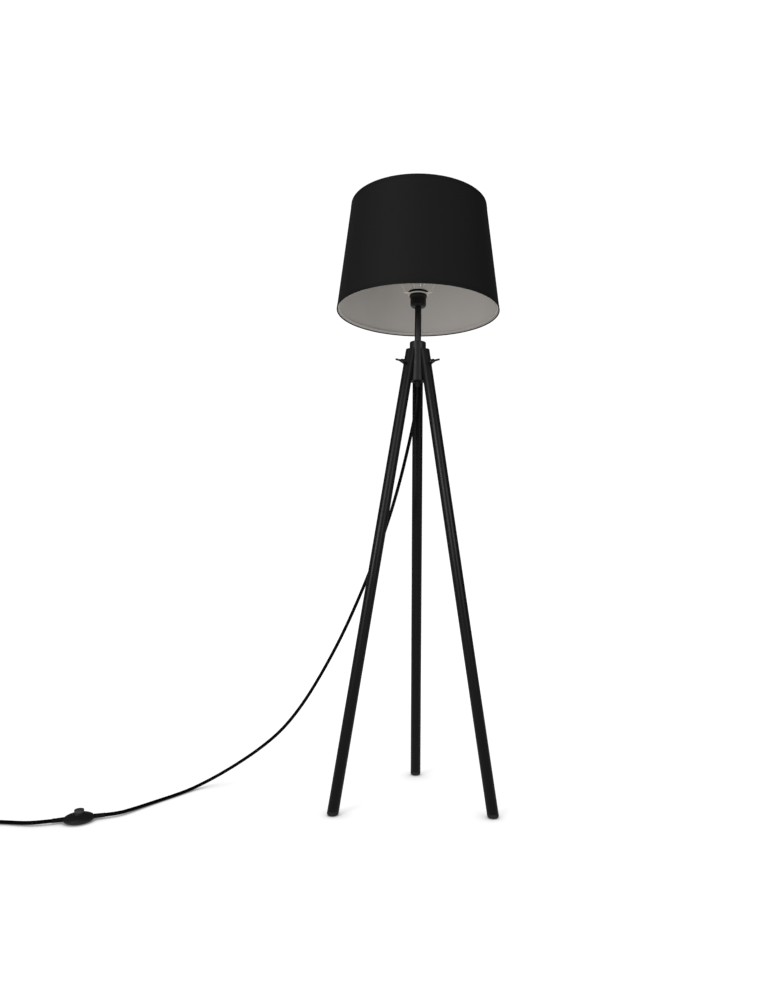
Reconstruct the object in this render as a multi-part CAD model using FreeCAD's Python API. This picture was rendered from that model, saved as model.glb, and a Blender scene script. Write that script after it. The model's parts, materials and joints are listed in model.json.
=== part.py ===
"""Tripod floor lamp: three dowel legs in a fluted hub, a short pole, an E27 holder and a drum shade.

Millimetres, +Z up, floor at z = 0. The front of the lamp is -Y, and one leg points to +Y.
The lamp's axis stands AXIS_Y along Y, so that the origin is under the middle of the lamp's box.
Shapes are made about the lamp's axis, and export() moves them all by AXIS_Y at the end.
"""
import FreeCAD, Part
import math
import os
from FreeCAD import Vector

os.makedirs("parts", exist_ok=True)

AXIS_Y = -9.5

# tripod: each leg's axis leans out from LEG_TOP_RADIUS to FOOT_RADIUS
LEG_RADIUS = 13.0
LEG_TOP = 1080.0
LEG_TOP_RADIUS = 18.0
FOOT_RADIUS = 206.0
LEG_SLOPE = (FOOT_RADIUS - LEG_TOP_RADIUS) / LEG_TOP
LEAN = math.degrees(math.atan(LEG_SLOPE))
LEGS = {"rear": 90.0, "front_left": 210.0, "front_right": 330.0}
PAD_HEIGHT = 10.0
PAD_ROUNDING = 5.5
FLUTE_GAP = 0.05

# hub
HUB_RADIUS = 20.0
HUB_BOTTOM = 1002.0
HUB_TOP = 1100.0
HUB_EDGE = 1.8
LEAD_BORE_RADIUS = 4.0
GRIP_SEAT_RADIUS = 7.0
GRIP_SEAT_TOP = 1014.0

# wing screws, M6, across each leg into the hub
SCREW_HEIGHT = 1045.0
SCREW_RADIUS = 3.0
SCREW_TIP_RADIUS = 7.0
SCREW_HOLE_GAP = 0.5
THREAD_GAP = 0.05
WASHER_RADIUS = 7.0
WASHER_THICKNESS = 1.2
WING_TURN = 17.0
WING_THICKNESS = 2.8
BOSS_ROOT_RADIUS = 5.6
BOSS_TOP_RADIUS = 4.4
BOSS_HEIGHT = 8.5

# pole and its threaded nipples
POLE_RADIUS = 8.0
POLE_TOP = 1188.0
NIPPLE_RADIUS = 5.0
NIPPLE_BORE_RADIUS = 3.5
NIPPLE_HALF = 15.0
LEAD_RADIUS = 3.0

# E27 holder
HOLDER_RADIUS = 19.5
HOLDER_SPLIT = 1200.0
FLANGE_BOTTOM = 1209.5
FLANGE_TOP = 1219.0
FLANGE_RADIUS = 21.8
SLEEVE_TOP = 1229.0
SHELL_RADIUS = 13.4
SHELL_WALL = 0.5
SOCKET_FLOOR = 1203.0

# spider and shade
SPIDER_BORE_RADIUS = 20.4
SPIDER_RING_RADIUS = 25.0
SPIDER_BOTTOM = 1219.3
SPIDER_THICKNESS = 1.7
SPIDER_ARM_RADIUS = 1.25
SPIDER_TAB_END = 38.0
SPIDER_ARM_START = 35.0
SHADE_BOTTOM = 1175.0
SHADE_TOP = 1441.5
SHADE_BOTTOM_RADIUS = 200.0
SHADE_TOP_RADIUS = 168.0
FABRIC = 0.8
LINING = 0.8
WIRE_RADIUS = 1.75
WIRE_INSET = 6.6
TAPE = 0.8
TAPE_HEIGHT = 9.0
TAPE_INSIDE = 1.8

# shade ring, which clamps the spider on the flange
RING_BOTTOM = 1221.3
RING_STEP = 1224.0
RING_TOP = 1226.6
RING_NECK_RADIUS = 22.6
RING_RADIUS = 25.6
RING_GRIPS = 12

# bulb, E27 A60
CAP_RADIUS = 13.0
BULB_TIP = 1203.9
CAP_BOTTOM = 1210.0
CAP_TOP = 1231.0
GLASS_RADIUS = 30.0
GLASS_CENTRE = 1282.0
GLASS_WALL = 0.9
NECK_RADIUS = 14.5
STEM_TOP = 1262.5
FILAMENT_RADIUS = 0.35
FILAMENT_HALF_WIDTH = 13.0
FILAMENT_HALF_FOOT = 3.0

# mains cord, its foot switch and its plug
CORD_RADIUS = 4.0
GRIP_BOTTOM = 988.0
SWITCH_PLACE = Vector(-718.0, -163.0, 0.0)
SWITCH_HEADING = -156.9
SWITCH_RADIUS = 31.5
SWITCH_BASE_RADIUS = 25.5
SWITCH_SPLIT = 6.5
SWITCH_DOME = 10.5
COLLAR_TOP = 19.0
SWITCH_CORD_HEIGHT = 7.2
RELIEF_ROOT = 22.0
RELIEF_END = 52.0
RELIEF_RADIUS = 5.2
RELIEF_END_RADIUS = 4.6
BUTTON_RADIUS = 10.0
BUTTON_LIP_RADIUS = 12.0
BUTTON_BOTTOM = 12.3
BUTTON_TOP = 25.5
CAVITY_RADIUS = 13.0

COIL_CENTRE = Vector(-942.5, -231.5, 0.0)
COIL_INNER = 37.0
COIL_OUTER = 53.0
COIL_TOP = 15.0
COIL_TOP_INNER = 41.0
COIL_TOP_OUTER = 49.0
TIE_WIDTH = 10.0
TIE_THICKNESS = 0.8

PLUG_ENTRY = Vector(-1021.1, -245.8, 7.0)
PLUG_HEADING = -96.9
PLUG_RELIEF = 24.0
PLUG_LENGTH = 36.0
PLUG_WIDTH = 35.3
PLUG_THICKNESS = 13.7
PIN_RADIUS = 2.0
PIN_LENGTH = 19.0
PIN_SPACING = 18.6

UP = Vector(0, 0, 1)


def export(name, shape):
    """Writes one node, moved to where the lamp's axis stands."""
    moved = shape.copy()
    moved.translate(Vector(0, AXIS_Y, 0))
    moved.exportStep("parts/%s.step" % name)


def rod(radius, bottom, top):
    """A cylinder on the lamp's axis."""
    return Part.makeCylinder(radius, top - bottom, Vector(0, 0, bottom))


def tube(outer, inner, bottom, top):
    """A hollow cylinder on the lamp's axis."""
    return rod(outer, bottom, top).cut(rod(inner, bottom - 1, top + 1))


def turned(points):
    """A solid of revolution about the lamp's axis, from (radius, height) corners."""
    corners = [Vector(radius, 0, height) for radius, height in points]
    outline = Part.makePolygon(corners + corners[:1])
    return Part.Face(outline).revolve(Vector(0, 0, 0), UP, 360)


def turned_to(shape, azimuth):
    """A copy of a shape made towards +X, turned about the lamp's axis."""
    copy = shape.copy()
    copy.rotate(Vector(0, 0, 0), UP, azimuth)
    return copy


def placed(shape, place, heading):
    """A copy of a shape made at the origin towards +X, put on the floor plan."""
    copy = turned_to(shape, heading)
    copy.translate(place)
    return copy


def leg_axis_radius(height):
    """How far the leg's axis is from the lamp's axis at this height."""
    return FOOT_RADIUS - LEG_SLOPE * height


def leaning_rod(radius, bottom, top):
    """A rod along the +X leg's axis, cut level at both ends."""
    start = Vector(leg_axis_radius(bottom - 20), 0, bottom - 20)
    end = Vector(leg_axis_radius(top + 20), 0, top + 20)
    long_rod = Part.makeCylinder(radius, (end - start).Length, start, end - start)
    slab = Part.makeBox(600, 600, top - bottom, Vector(-300, -300, bottom))
    return long_rod.common(slab)


def screw_frame(shape):
    """Puts a shape made along +Z at the origin onto the +X leg's screw axis."""
    copy = shape.copy()
    copy.rotate(Vector(0, 0, 0), Vector(0, 1, 0), 90 - LEAN)
    copy.translate(Vector(leg_axis_radius(SCREW_HEIGHT), 0, SCREW_HEIGHT))
    return copy


def make_leg():
    hole = Part.makeCylinder(SCREW_RADIUS + SCREW_HOLE_GAP, 4 * LEG_RADIUS, Vector(0, 0, -2 * LEG_RADIUS))
    return leaning_rod(LEG_RADIUS, PAD_HEIGHT, LEG_TOP).cut(screw_frame(hole))


def make_pad():
    """A rubber foot as wide as the leg, rounded below."""
    pad = leaning_rod(LEG_RADIUS, 0, PAD_HEIGHT)
    rim = [edge for edge in pad.Edges if edge.BoundBox.ZMax < 0.1]
    return pad.makeFillet(PAD_ROUNDING, rim)


def make_hub():
    hub = rod(HUB_RADIUS, HUB_BOTTOM, HUB_TOP)
    top_edge = [edge for edge in hub.Edges if edge.BoundBox.ZMin > HUB_TOP - 0.1]
    hub = hub.makeFillet(HUB_EDGE, top_edge)
    hub = hub.cut(rod(LEAD_BORE_RADIUS, HUB_BOTTOM - 1, HUB_TOP + 1))
    hub = hub.cut(rod(NIPPLE_RADIUS + THREAD_GAP, HUB_TOP - NIPPLE_HALF, HUB_TOP + 1))
    hub = hub.cut(rod(GRIP_SEAT_RADIUS, HUB_BOTTOM - 1, GRIP_SEAT_TOP))
    flute = leaning_rod(LEG_RADIUS + FLUTE_GAP, HUB_BOTTOM - 5, LEG_TOP)
    reach = leg_axis_radius(SCREW_HEIGHT) - SCREW_TIP_RADIUS
    thread = Part.makeCylinder(SCREW_RADIUS + THREAD_GAP, reach, Vector(0, 0, -reach))
    for azimuth in LEGS.values():
        hub = hub.cut(turned_to(flute, azimuth))
        hub = hub.cut(turned_to(screw_frame(thread), azimuth))
    return hub


def wing(side):
    """One blade of a wing screw, in the XZ plane, flaring up from the boss towards side * X."""
    corners = [(3.0, 1.5), (8.0, 2.5), (13.0, 6.5), (18.0, 9.0), (19.5, 12.5), (18.2, 15.0),
               (15.0, 14.5), (11.0, 10.5), (7.0, 8.5), (3.0, 8.0)]
    points = [Vector(side * across, 0, height) for across, height in corners]
    outline = Part.makePolygon(points + points[:1])
    blade = Part.Face(outline).extrude(Vector(0, WING_THICKNESS, 0))
    blade.translate(Vector(0, -WING_THICKNESS / 2, 0))
    return blade


def make_wing_screw(mirror):
    """Shaft, boss and two wings along +Z, then put on the leg's screw axis."""
    seat = LEG_RADIUS + WASHER_THICKNESS + 0.3
    inner = leg_axis_radius(SCREW_HEIGHT) - SCREW_TIP_RADIUS - 0.5
    shaft = Part.makeCylinder(SCREW_RADIUS, inner + seat + 4, Vector(0, 0, -inner))
    boss = Part.makeCone(BOSS_ROOT_RADIUS, BOSS_TOP_RADIUS, BOSS_HEIGHT, Vector(0, 0, seat))
    blades = wing(1).fuse(wing(-1))
    blades.rotate(Vector(0, 0, 0), UP, 90 + mirror * WING_TURN)
    blades.translate(Vector(0, 0, seat))
    return screw_frame(shaft.fuse([boss, blades]).removeSplitter())


def make_washer():
    ring = Part.makeCylinder(WASHER_RADIUS, WASHER_THICKNESS, Vector(0, 0, LEG_RADIUS + 0.1))
    hole = Part.makeCylinder(SCREW_RADIUS + SCREW_HOLE_GAP, 4, Vector(0, 0, LEG_RADIUS - 1))
    return screw_frame(ring.cut(hole))


def make_holder_cap():
    cap = rod(HOLDER_RADIUS, POLE_TOP, HOLDER_SPLIT)
    low_edge = [edge for edge in cap.Edges if edge.BoundBox.ZMax < POLE_TOP + 0.1]
    cap = cap.makeFillet(7.0, low_edge)
    cap = cap.cut(rod(NIPPLE_RADIUS + THREAD_GAP, POLE_TOP - 1, POLE_TOP + 8))
    return cap.cut(rod(12.0, POLE_TOP + 6, HOLDER_SPLIT + 1))


def make_holder_body():
    """The body with its flange and the threaded sleeve above, open down to the terminal plate."""
    outline = [(SHELL_RADIUS + SHELL_WALL, HOLDER_SPLIT + 0.05), (HOLDER_RADIUS, HOLDER_SPLIT + 0.05),
               (HOLDER_RADIUS, FLANGE_BOTTOM), (FLANGE_RADIUS, FLANGE_BOTTOM + 2.4),
               (FLANGE_RADIUS, FLANGE_TOP - 1.6), (FLANGE_RADIUS - 1.6, FLANGE_TOP),
               (HOLDER_RADIUS, FLANGE_TOP), (HOLDER_RADIUS, SLEEVE_TOP),
               (SHELL_RADIUS + SHELL_WALL, SLEEVE_TOP)]
    return turned(outline)


def make_side_contact():
    """A bent strip on the terminal plate, inside the threaded shell."""
    foot = Part.makeBox(6, 4, 0.6, Vector(5.5, -2, SOCKET_FLOOR))
    rise = Part.makeBox(0.6, 4, 3.4, Vector(10.9, -2, SOCKET_FLOOR + 0.6))
    return foot.fuse(rise)


def make_shade_ring():
    """The threaded ring: a neck on the spider and a wider rim with hollow grips round it."""
    neck = tube(RING_NECK_RADIUS, HOLDER_RADIUS + 0.06, RING_BOTTOM, RING_STEP)
    ring = neck.fuse(tube(RING_RADIUS, HOLDER_RADIUS + 0.06, RING_STEP, RING_TOP)).removeSplitter()
    for step in range(RING_GRIPS):
        angle = math.radians(360.0 * step / RING_GRIPS)
        centre = Vector((RING_RADIUS + 1.4) * math.cos(angle), (RING_RADIUS + 1.4) * math.sin(angle), 0)
        scoop = Part.makeCylinder(2.6, 20, Vector(centre.x, centre.y, RING_BOTTOM - 5))
        ring = ring.cut(scoop)
    return ring


def shade_radius(height):
    """The fabric's outer radius at this height."""
    share = (height - SHADE_BOTTOM) / (SHADE_TOP - SHADE_BOTTOM)
    return SHADE_BOTTOM_RADIUS + (SHADE_TOP_RADIUS - SHADE_BOTTOM_RADIUS) * share


def cone_shell(outer_offset, wall, bottom, top):
    """A layer of the shade's wall: its outside lies outer_offset in from the fabric's outside."""
    low = shade_radius(bottom) - outer_offset
    high = shade_radius(top) - outer_offset
    return turned([(low - wall, bottom), (low, bottom), (high, top), (high - wall, top)])


def wire_ring(radius, height):
    return Part.makeTorus(radius, WIRE_RADIUS, Vector(0, 0, height), UP)


def ring_radius(height):
    """A wire ring's own radius, just inside the lining."""
    return shade_radius(height) - FABRIC - LINING - WIRE_RADIUS - 0.1


def make_tape(edge, inward):
    """Edge tape folded over the shade's rim: edge is the rim's height, inward is +1 up or -1 down."""
    turn_back = edge + inward * TAPE_HEIGHT
    rim = edge - inward * TAPE
    low_out = shade_radius(edge) + TAPE
    high_out = shade_radius(turn_back) + TAPE
    wall = FABRIC + LINING + 2 * TAPE
    inner = edge + inward * TAPE_INSIDE
    outline = [(low_out - wall, rim), (low_out, rim), (high_out, turn_back), (high_out - TAPE, turn_back),
               (low_out - TAPE, edge), (low_out - wall + TAPE, edge),
               (shade_radius(inner) - wall + 2 * TAPE, inner), (shade_radius(inner) - wall + TAPE, inner)]
    return turned(outline)


def make_spider(wire_height):
    """Flat centre ring with three tabs, and three arms up to the top wire ring."""
    top = SPIDER_BOTTOM + SPIDER_THICKNESS
    spider = tube(SPIDER_RING_RADIUS, SPIDER_BORE_RADIUS, SPIDER_BOTTOM, top)
    middle = SPIDER_BOTTOM + SPIDER_THICKNESS / 2
    start = Vector(SPIDER_ARM_START, 0, middle)
    end = Vector(ring_radius(wire_height), 0, wire_height)
    tab = Part.makeBox(SPIDER_TAB_END - SPIDER_RING_RADIUS + 2, 8, SPIDER_THICKNESS,
                       Vector(SPIDER_RING_RADIUS - 2, -4, SPIDER_BOTTOM))
    arm = Part.makeCylinder(SPIDER_ARM_RADIUS, (end - start).Length, start, end - start)
    arm = arm.common(rod(SHADE_BOTTOM_RADIUS, SPIDER_BOTTOM, SHADE_TOP))
    for azimuth in LEGS.values():
        spider = spider.fuse([turned_to(tab, azimuth), turned_to(arm, azimuth)])
    return spider.removeSplitter().cut(wire_ring(ring_radius(wire_height), wire_height))


def make_glass():
    """The bulb's clear envelope: neck, cone and globe, open below where the cap closes it."""
    def skin(inset):
        join = 35.0
        radius = GLASS_RADIUS - inset
        side = Vector(radius * math.cos(math.radians(-join)), 0,
                      GLASS_CENTRE + radius * math.sin(math.radians(-join)))
        globe_top = Vector(0, 0, GLASS_CENTRE + radius)
        globe_side = Vector(radius, 0, GLASS_CENTRE)
        neck = Vector(NECK_RADIUS - inset, 0, CAP_TOP + 8)
        foot = Vector(NECK_RADIUS - 1.6 - inset, 0, CAP_TOP)
        centre_foot = Vector(0, 0, CAP_TOP)
        edges = [Part.LineSegment(centre_foot, foot).toShape(),
                 Part.LineSegment(foot, neck).toShape(),
                 Part.LineSegment(neck, side).toShape(),
                 Part.Arc(side, globe_side, globe_top).toShape(),
                 Part.LineSegment(globe_top, centre_foot).toShape()]
        return Part.Face(Part.Wire(edges)).revolve(Vector(0, 0, 0), UP, 360)
    return skin(0).cut(skin(GLASS_WALL))


def make_bulb_cap():
    """The screw cap: a cup round the cement, with its closed foot on the insulator."""
    cap = rod(CAP_RADIUS, CAP_BOTTOM, CAP_TOP - 0.05)
    return cap.cut(rod(CAP_RADIUS - 0.6, CAP_BOTTOM + 0.8, CAP_TOP + 1))


def make_filament():
    """A wire between the stem's two supports, bent as three sides of a trapezium."""
    foot = STEM_TOP - 0.5
    points = [Vector(-FILAMENT_HALF_FOOT, 0, foot), Vector(-FILAMENT_HALF_WIDTH, 0, GLASS_CENTRE),
              Vector(FILAMENT_HALF_WIDTH, 0, GLASS_CENTRE), Vector(FILAMENT_HALF_FOOT, 0, foot)]
    wires = [Part.makeCylinder(FILAMENT_RADIUS, (b - a).Length, a, b - a)
             for a, b in zip(points, points[1:])]
    knots = [Part.makeSphere(FILAMENT_RADIUS + 0.15, point) for point in points[1:3]]
    return wires[0].fuse(wires[1:] + knots)


def make_stem():
    """Glass stem that carries the filament's supports."""
    return turned([(0, CAP_TOP - 3), (9.5, CAP_TOP - 3), (9.5, CAP_TOP + 2), (3.4, CAP_TOP + 14),
                   (2.2, STEM_TOP), (0, STEM_TOP)])


def make_cord_grip():
    """Bushing in the hub's underside: seat, collar and a tapered nose."""
    seat = rod(GRIP_SEAT_RADIUS, HUB_BOTTOM, GRIP_SEAT_TOP)
    collar = rod(GRIP_SEAT_RADIUS + 1.5, HUB_BOTTOM - 2.5, HUB_BOTTOM)
    nose = Part.makeCone(CORD_RADIUS + 0.6, GRIP_SEAT_RADIUS - 0.4, HUB_BOTTOM - 2.5 - GRIP_BOTTOM,
                         Vector(0, 0, GRIP_BOTTOM))
    return seat.fuse([collar, nose]).removeSplitter()


def cord_tube(name, route):
    """A tube of the cord along straight runs joined by tangent arcs, and its radii printed."""
    points = [Vector(*place) for place in route]
    edges = []
    radii = []
    at = points[0]
    for before, corner, after in zip(points, points[1:], points[2:]):
        run_in = (corner - before)
        run_out = (after - corner)
        shorter = min(run_in.Length, run_out.Length)
        back = run_in.normalize()
        ahead = run_out.normalize()
        turn = back.getAngle(ahead)
        cut = 0.45 * shorter
        radius = cut / math.tan(turn / 2)
        arc_start = corner - back * cut
        arc_end = corner + ahead * cut
        bisector = (ahead - back).normalize()
        centre = corner + bisector * math.hypot(radius, cut)
        middle = centre - bisector * radius
        edges.append(Part.LineSegment(at, arc_start).toShape())
        edges.append(Part.Arc(arc_start, middle, arc_end).toShape())
        radii.append(radius)
        at = arc_end
    edges.append(Part.LineSegment(at, points[-1]).toShape())
    path = Part.Wire(edges)
    section = Part.Wire([Part.Circle(points[0], points[1] - points[0], CORD_RADIUS).toShape()])
    solid = path.makePipeShell([section], True, False)
    share = solid.Volume / (math.pi * CORD_RADIUS ** 2 * path.Length)
    print("%s: length %.0f, smallest radius %.0f, volume share %.4f, lowest %.2f"
          % (name, path.Length, min(radii), share, solid.BoundBox.ZMin))
    print("  radii", [round(radius) for radius in radii])
    return solid


def along_switch(distance):
    """A point on the switch's long axis, at the cord's height there."""
    angle = math.radians(SWITCH_HEADING)
    return (SWITCH_PLACE.x + distance * math.cos(angle), SWITCH_PLACE.y + distance * math.sin(angle),
            SWITCH_CORD_HEIGHT)


def along_plug(distance):
    """A point on the plug's long axis, from where the cord enters its sleeve."""
    angle = math.radians(PLUG_HEADING)
    return (PLUG_ENTRY.x + distance * math.cos(angle), PLUG_ENTRY.y + distance * math.sin(angle),
            PLUG_ENTRY.z)


def relief(side):
    """Tapered sleeve round the cord where it enters the switch, towards side * X."""
    axis = Vector(side, 0, 0)
    root = Part.makeCylinder(RELIEF_RADIUS, SWITCH_RADIUS - RELIEF_ROOT,
                             Vector(side * RELIEF_ROOT, 0, SWITCH_CORD_HEIGHT), axis)
    taper = Part.makeCone(RELIEF_RADIUS, RELIEF_END_RADIUS, RELIEF_END - SWITCH_RADIUS,
                          Vector(side * SWITCH_RADIUS, 0, SWITCH_CORD_HEIGHT), axis)
    return root.fuse(taper).removeSplitter()


def relief_seats():
    return [Part.makeCylinder(RELIEF_RADIUS, 30, Vector(side * RELIEF_ROOT, 0, SWITCH_CORD_HEIGHT),
                              Vector(side, 0, 0)) for side in (-1, 1)]


def make_switch_base():
    """The saucer's lower half, curving in to its foot, open above for the contact block."""
    belly = Part.Arc(Vector(SWITCH_BASE_RADIUS, 0, 0), Vector(SWITCH_RADIUS - 1.8, 0, 2.6),
                     Vector(SWITCH_RADIUS, 0, SWITCH_SPLIT)).toShape()
    corners = [Vector(SWITCH_RADIUS, 0, SWITCH_SPLIT), Vector(0, 0, SWITCH_SPLIT), Vector(0, 0, 0),
               Vector(SWITCH_BASE_RADIUS, 0, 0)]
    outline = Part.Wire([belly] + Part.makePolygon(corners).Edges)
    base = Part.Face(outline).revolve(Vector(0, 0, 0), UP, 360)
    base = base.cut(Part.makeCylinder(CAVITY_RADIUS, 10, Vector(0, 0, 2)))
    for seat in relief_seats():
        base = base.cut(seat)
    for side in (-1, 1):
        head = Part.makeCylinder(2.6, 1.6, Vector(side * 17, 0, 0.0))
        shaft = Part.makeCylinder(1.25, 10, Vector(side * 17, 0, 1.0))
        base = base.cut(head.fuse(shaft))
    return base


def dome_height(radius):
    """How high the saucer's dome is at this distance from its middle."""
    return SWITCH_SPLIT + SWITCH_DOME * math.sqrt(1 - (radius / SWITCH_RADIUS) ** 2)


def make_switch_cover():
    """The dome, with a flared collar round the button's well."""
    half_way = SWITCH_RADIUS * math.cos(math.radians(40))
    collar_root = BUTTON_RADIUS + 4.5
    dome = Part.Arc(Vector(SWITCH_RADIUS, 0, SWITCH_SPLIT), Vector(half_way, 0, dome_height(half_way)),
                    Vector(collar_root, 0, dome_height(collar_root))).toShape()
    corners = [Vector(collar_root, 0, dome_height(collar_root)), Vector(BUTTON_RADIUS + 1.4, 0, COLLAR_TOP),
               Vector(BUTTON_RADIUS + 0.4, 0, COLLAR_TOP), Vector(BUTTON_RADIUS + 0.4, 0, SWITCH_SPLIT),
               Vector(SWITCH_RADIUS, 0, SWITCH_SPLIT)]
    outline = Part.Wire([dome] + Part.makePolygon(corners).Edges)
    cover = Part.Face(outline).revolve(Vector(0, 0, 0), UP, 360)
    cover = cover.cut(Part.makeCylinder(CAVITY_RADIUS, 14.5 - SWITCH_SPLIT, Vector(0, 0, SWITCH_SPLIT)))
    for seat in relief_seats():
        cover = cover.cut(seat)
    for side in (-1, 1):
        cover = cover.cut(Part.makeCylinder(1.25, 4.5, Vector(side * 17, 0, SWITCH_SPLIT - 0.3)))
    return cover


def make_switch_screw(side):
    head = Part.makeCylinder(2.5, 1.5, Vector(side * 17, 0, 0.1))
    shaft = Part.makeCylinder(1.2, 8.6, Vector(side * 17, 0, 1.6))
    return head.fuse(shaft)


def make_switch_button():
    knob = Part.makeCylinder(BUTTON_RADIUS, BUTTON_TOP - BUTTON_BOTTOM, Vector(0, 0, BUTTON_BOTTOM))
    rim = [edge for edge in knob.Edges if edge.BoundBox.ZMin > BUTTON_TOP - 0.1]
    knob = knob.makeFillet(1.6, rim)
    lip = Part.makeCylinder(BUTTON_LIP_RADIUS, 2.0, Vector(0, 0, BUTTON_BOTTOM))
    return knob.fuse(lip).removeSplitter()


def make_button_spring():
    """Coil spring between the contact block and the button."""
    height = BUTTON_BOTTOM - 7.0 - 1.3
    helix = Part.makeHelix(height / 3.0, height, 6.0)
    helix.translate(Vector(0, 0, 7.65))
    start = helix.Edges[0].valueAt(helix.Edges[0].FirstParameter)
    heading = helix.Edges[0].tangentAt(helix.Edges[0].FirstParameter)
    section = Part.Wire([Part.Circle(start, heading, 0.45).toShape()])
    return Part.Wire(helix.Edges).makePipeShell([section], True, True)


def make_coil():
    """The wound cord's outer shape: two turns side by side and a third on top."""
    return turned([(COIL_INNER, 0), (COIL_OUTER, 0), (COIL_OUTER, 7.0), (COIL_TOP_OUTER, COIL_TOP),
                   (COIL_TOP_INNER, COIL_TOP), (COIL_INNER, 7.0)])


def make_tie():
    """A flat strap round the coil's section."""
    outside = Part.makeBox(COIL_OUTER - COIL_INNER + 2 * TIE_THICKNESS + 0.4, TIE_WIDTH,
                           COIL_TOP + TIE_THICKNESS + 0.2,
                           Vector(COIL_INNER - TIE_THICKNESS - 0.2, -TIE_WIDTH / 2, 0))
    inside = Part.makeBox(COIL_OUTER - COIL_INNER + 0.4, TIE_WIDTH + 2, COIL_TOP + 0.2 - TIE_THICKNESS,
                          Vector(COIL_INNER - 0.2, -TIE_WIDTH / 2 - 1, TIE_THICKNESS))
    return outside.cut(inside)


def make_plug_body():
    """Flat two-pin plug along +X: a grip that widens to the pin face."""
    def frame(width, thickness, distance):
        corners = [Vector(distance, side * width / 2, up * thickness / 2)
                   for side, up in ((-1, -1), (1, -1), (1, 1), (-1, 1))]
        return Part.makePolygon(corners + corners[:1])
    grip = Part.makeLoft([frame(15, 11, 0), frame(24, 12.6, 12), frame(PLUG_WIDTH, PLUG_THICKNESS, 26)],
                         True, True)
    head = Part.makeLoft([frame(PLUG_WIDTH, PLUG_THICKNESS, 26),
                          frame(PLUG_WIDTH, PLUG_THICKNESS, PLUG_LENGTH)], True, True)
    return grip.fuse(head).removeSplitter()


def make_plug_relief():
    return Part.makeCone(RELIEF_END_RADIUS, 5.4, PLUG_RELIEF, Vector(0, 0, 0), Vector(1, 0, 0))


def at_plug(shape, distance):
    """Puts a shape made along +X at a distance along the plug's heading."""
    moved = shape.copy()
    moved.translate(Vector(distance, 0, 0))
    return placed(moved, PLUG_ENTRY, PLUG_HEADING)


# the cord's routes: from the hub to the switch, on to the coil, and from the coil to the plug
HANGING = [(0, 0, GRIP_BOTTOM), (0, 0, 950), (-8, 0.8, 905), (-21, 3.6, 842), (-41, 9, 756),
           (-67.5, 19, 664), (-100.5, 31, 570), (-139, 45, 474), (-181, 60.5, 380), (-228.5, 75.5, 290),
           (-279, 88.5, 206), (-332, 97.5, 138), (-388, 102.5, 90), (-443, 103.5, 52), (-489, 95.5, 25),
           (-522.5, 75, 10), (-546, 40.5, 4.2), (-568, 0, 4.0), (-590.5, -35.5, 4.0), (-611.5, -72, 4.5),
           (-630, -106.5, 5.9), along_switch(-RELIEF_END - 26), along_switch(-RELIEF_END)]
ALONG_FLOOR = [along_switch(RELIEF_END), along_switch(RELIEF_END + 24), (-816.5, -194, 5.6),
               (-858.5, -187.5, 4.2), (-901.5, -183, 4.0), (COIL_CENTRE.x, COIL_CENTRE.y + 49.0, 4.0)]
TAIL = [(COIL_CENTRE.x, COIL_CENTRE.y + 45.0, 11.0), (-958.5, -186.5, 12.2), (-983.3, -190.6, 12.4),
        (-1005.6, -205.7, 9.4), along_plug(-18), along_plug(0)]


def build_tripod():
    export("hub", make_hub())
    for place, azimuth in LEGS.items():
        mirror = -1 if place == "front_left" else 1
        export("leg_" + place, turned_to(make_leg(), azimuth))
        export("foot_pad_" + place, turned_to(make_pad(), azimuth))
        export("wing_screw_" + place, turned_to(make_wing_screw(mirror), azimuth))
        export("washer_" + place, turned_to(make_washer(), azimuth))
    export("pole", tube(POLE_RADIUS, NIPPLE_RADIUS + THREAD_GAP, HUB_TOP, POLE_TOP))
    export("nipple_lower",
           tube(NIPPLE_RADIUS, NIPPLE_BORE_RADIUS, HUB_TOP - NIPPLE_HALF, HUB_TOP + NIPPLE_HALF))
    export("nipple_upper", tube(NIPPLE_RADIUS, NIPPLE_BORE_RADIUS, POLE_TOP - NIPPLE_HALF, POLE_TOP + 6))


def build_holder():
    export("holder_cap", make_holder_cap())
    export("holder_body", make_holder_body())
    export("holder_plate", rod(SHELL_RADIUS + SHELL_WALL, HOLDER_SPLIT + 0.05, SOCKET_FLOOR))
    export("holder_shell", tube(SHELL_RADIUS + SHELL_WALL, SHELL_RADIUS, SOCKET_FLOOR, SLEEVE_TOP - 1))
    export("contact_centre", rod(3.5, SOCKET_FLOOR, SOCKET_FLOOR + 0.6))
    export("contact_side", make_side_contact())
    export("shade_ring", make_shade_ring())
    export("inner_lead", rod(LEAD_RADIUS, GRIP_SEAT_TOP, HOLDER_SPLIT))


def build_shade():
    top_height = SHADE_TOP - WIRE_INSET
    bottom_height = SHADE_BOTTOM + WIRE_INSET
    export("spider", make_spider(top_height))
    export("shade_wire_top", wire_ring(ring_radius(top_height), top_height))
    export("shade_wire_bottom", wire_ring(ring_radius(bottom_height), bottom_height))
    export("shade_lining", cone_shell(FABRIC, LINING, SHADE_BOTTOM, SHADE_TOP))
    export("shade_fabric", cone_shell(0, FABRIC, SHADE_BOTTOM, SHADE_TOP))
    export("shade_tape_bottom", make_tape(SHADE_BOTTOM, 1))
    export("shade_tape_top", make_tape(SHADE_TOP, -1))


def build_bulb():
    export("bulb_glass", make_glass())
    export("bulb_cap", make_bulb_cap())
    export("bulb_insulator", turned([(0, CAP_BOTTOM - 5), (5, CAP_BOTTOM - 5), (10, CAP_BOTTOM),
                                     (0, CAP_BOTTOM)]))
    export("bulb_contact", rod(4.2, BULB_TIP, CAP_BOTTOM - 5))
    export("bulb_stem", make_stem())
    export("bulb_filament", make_filament())


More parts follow.
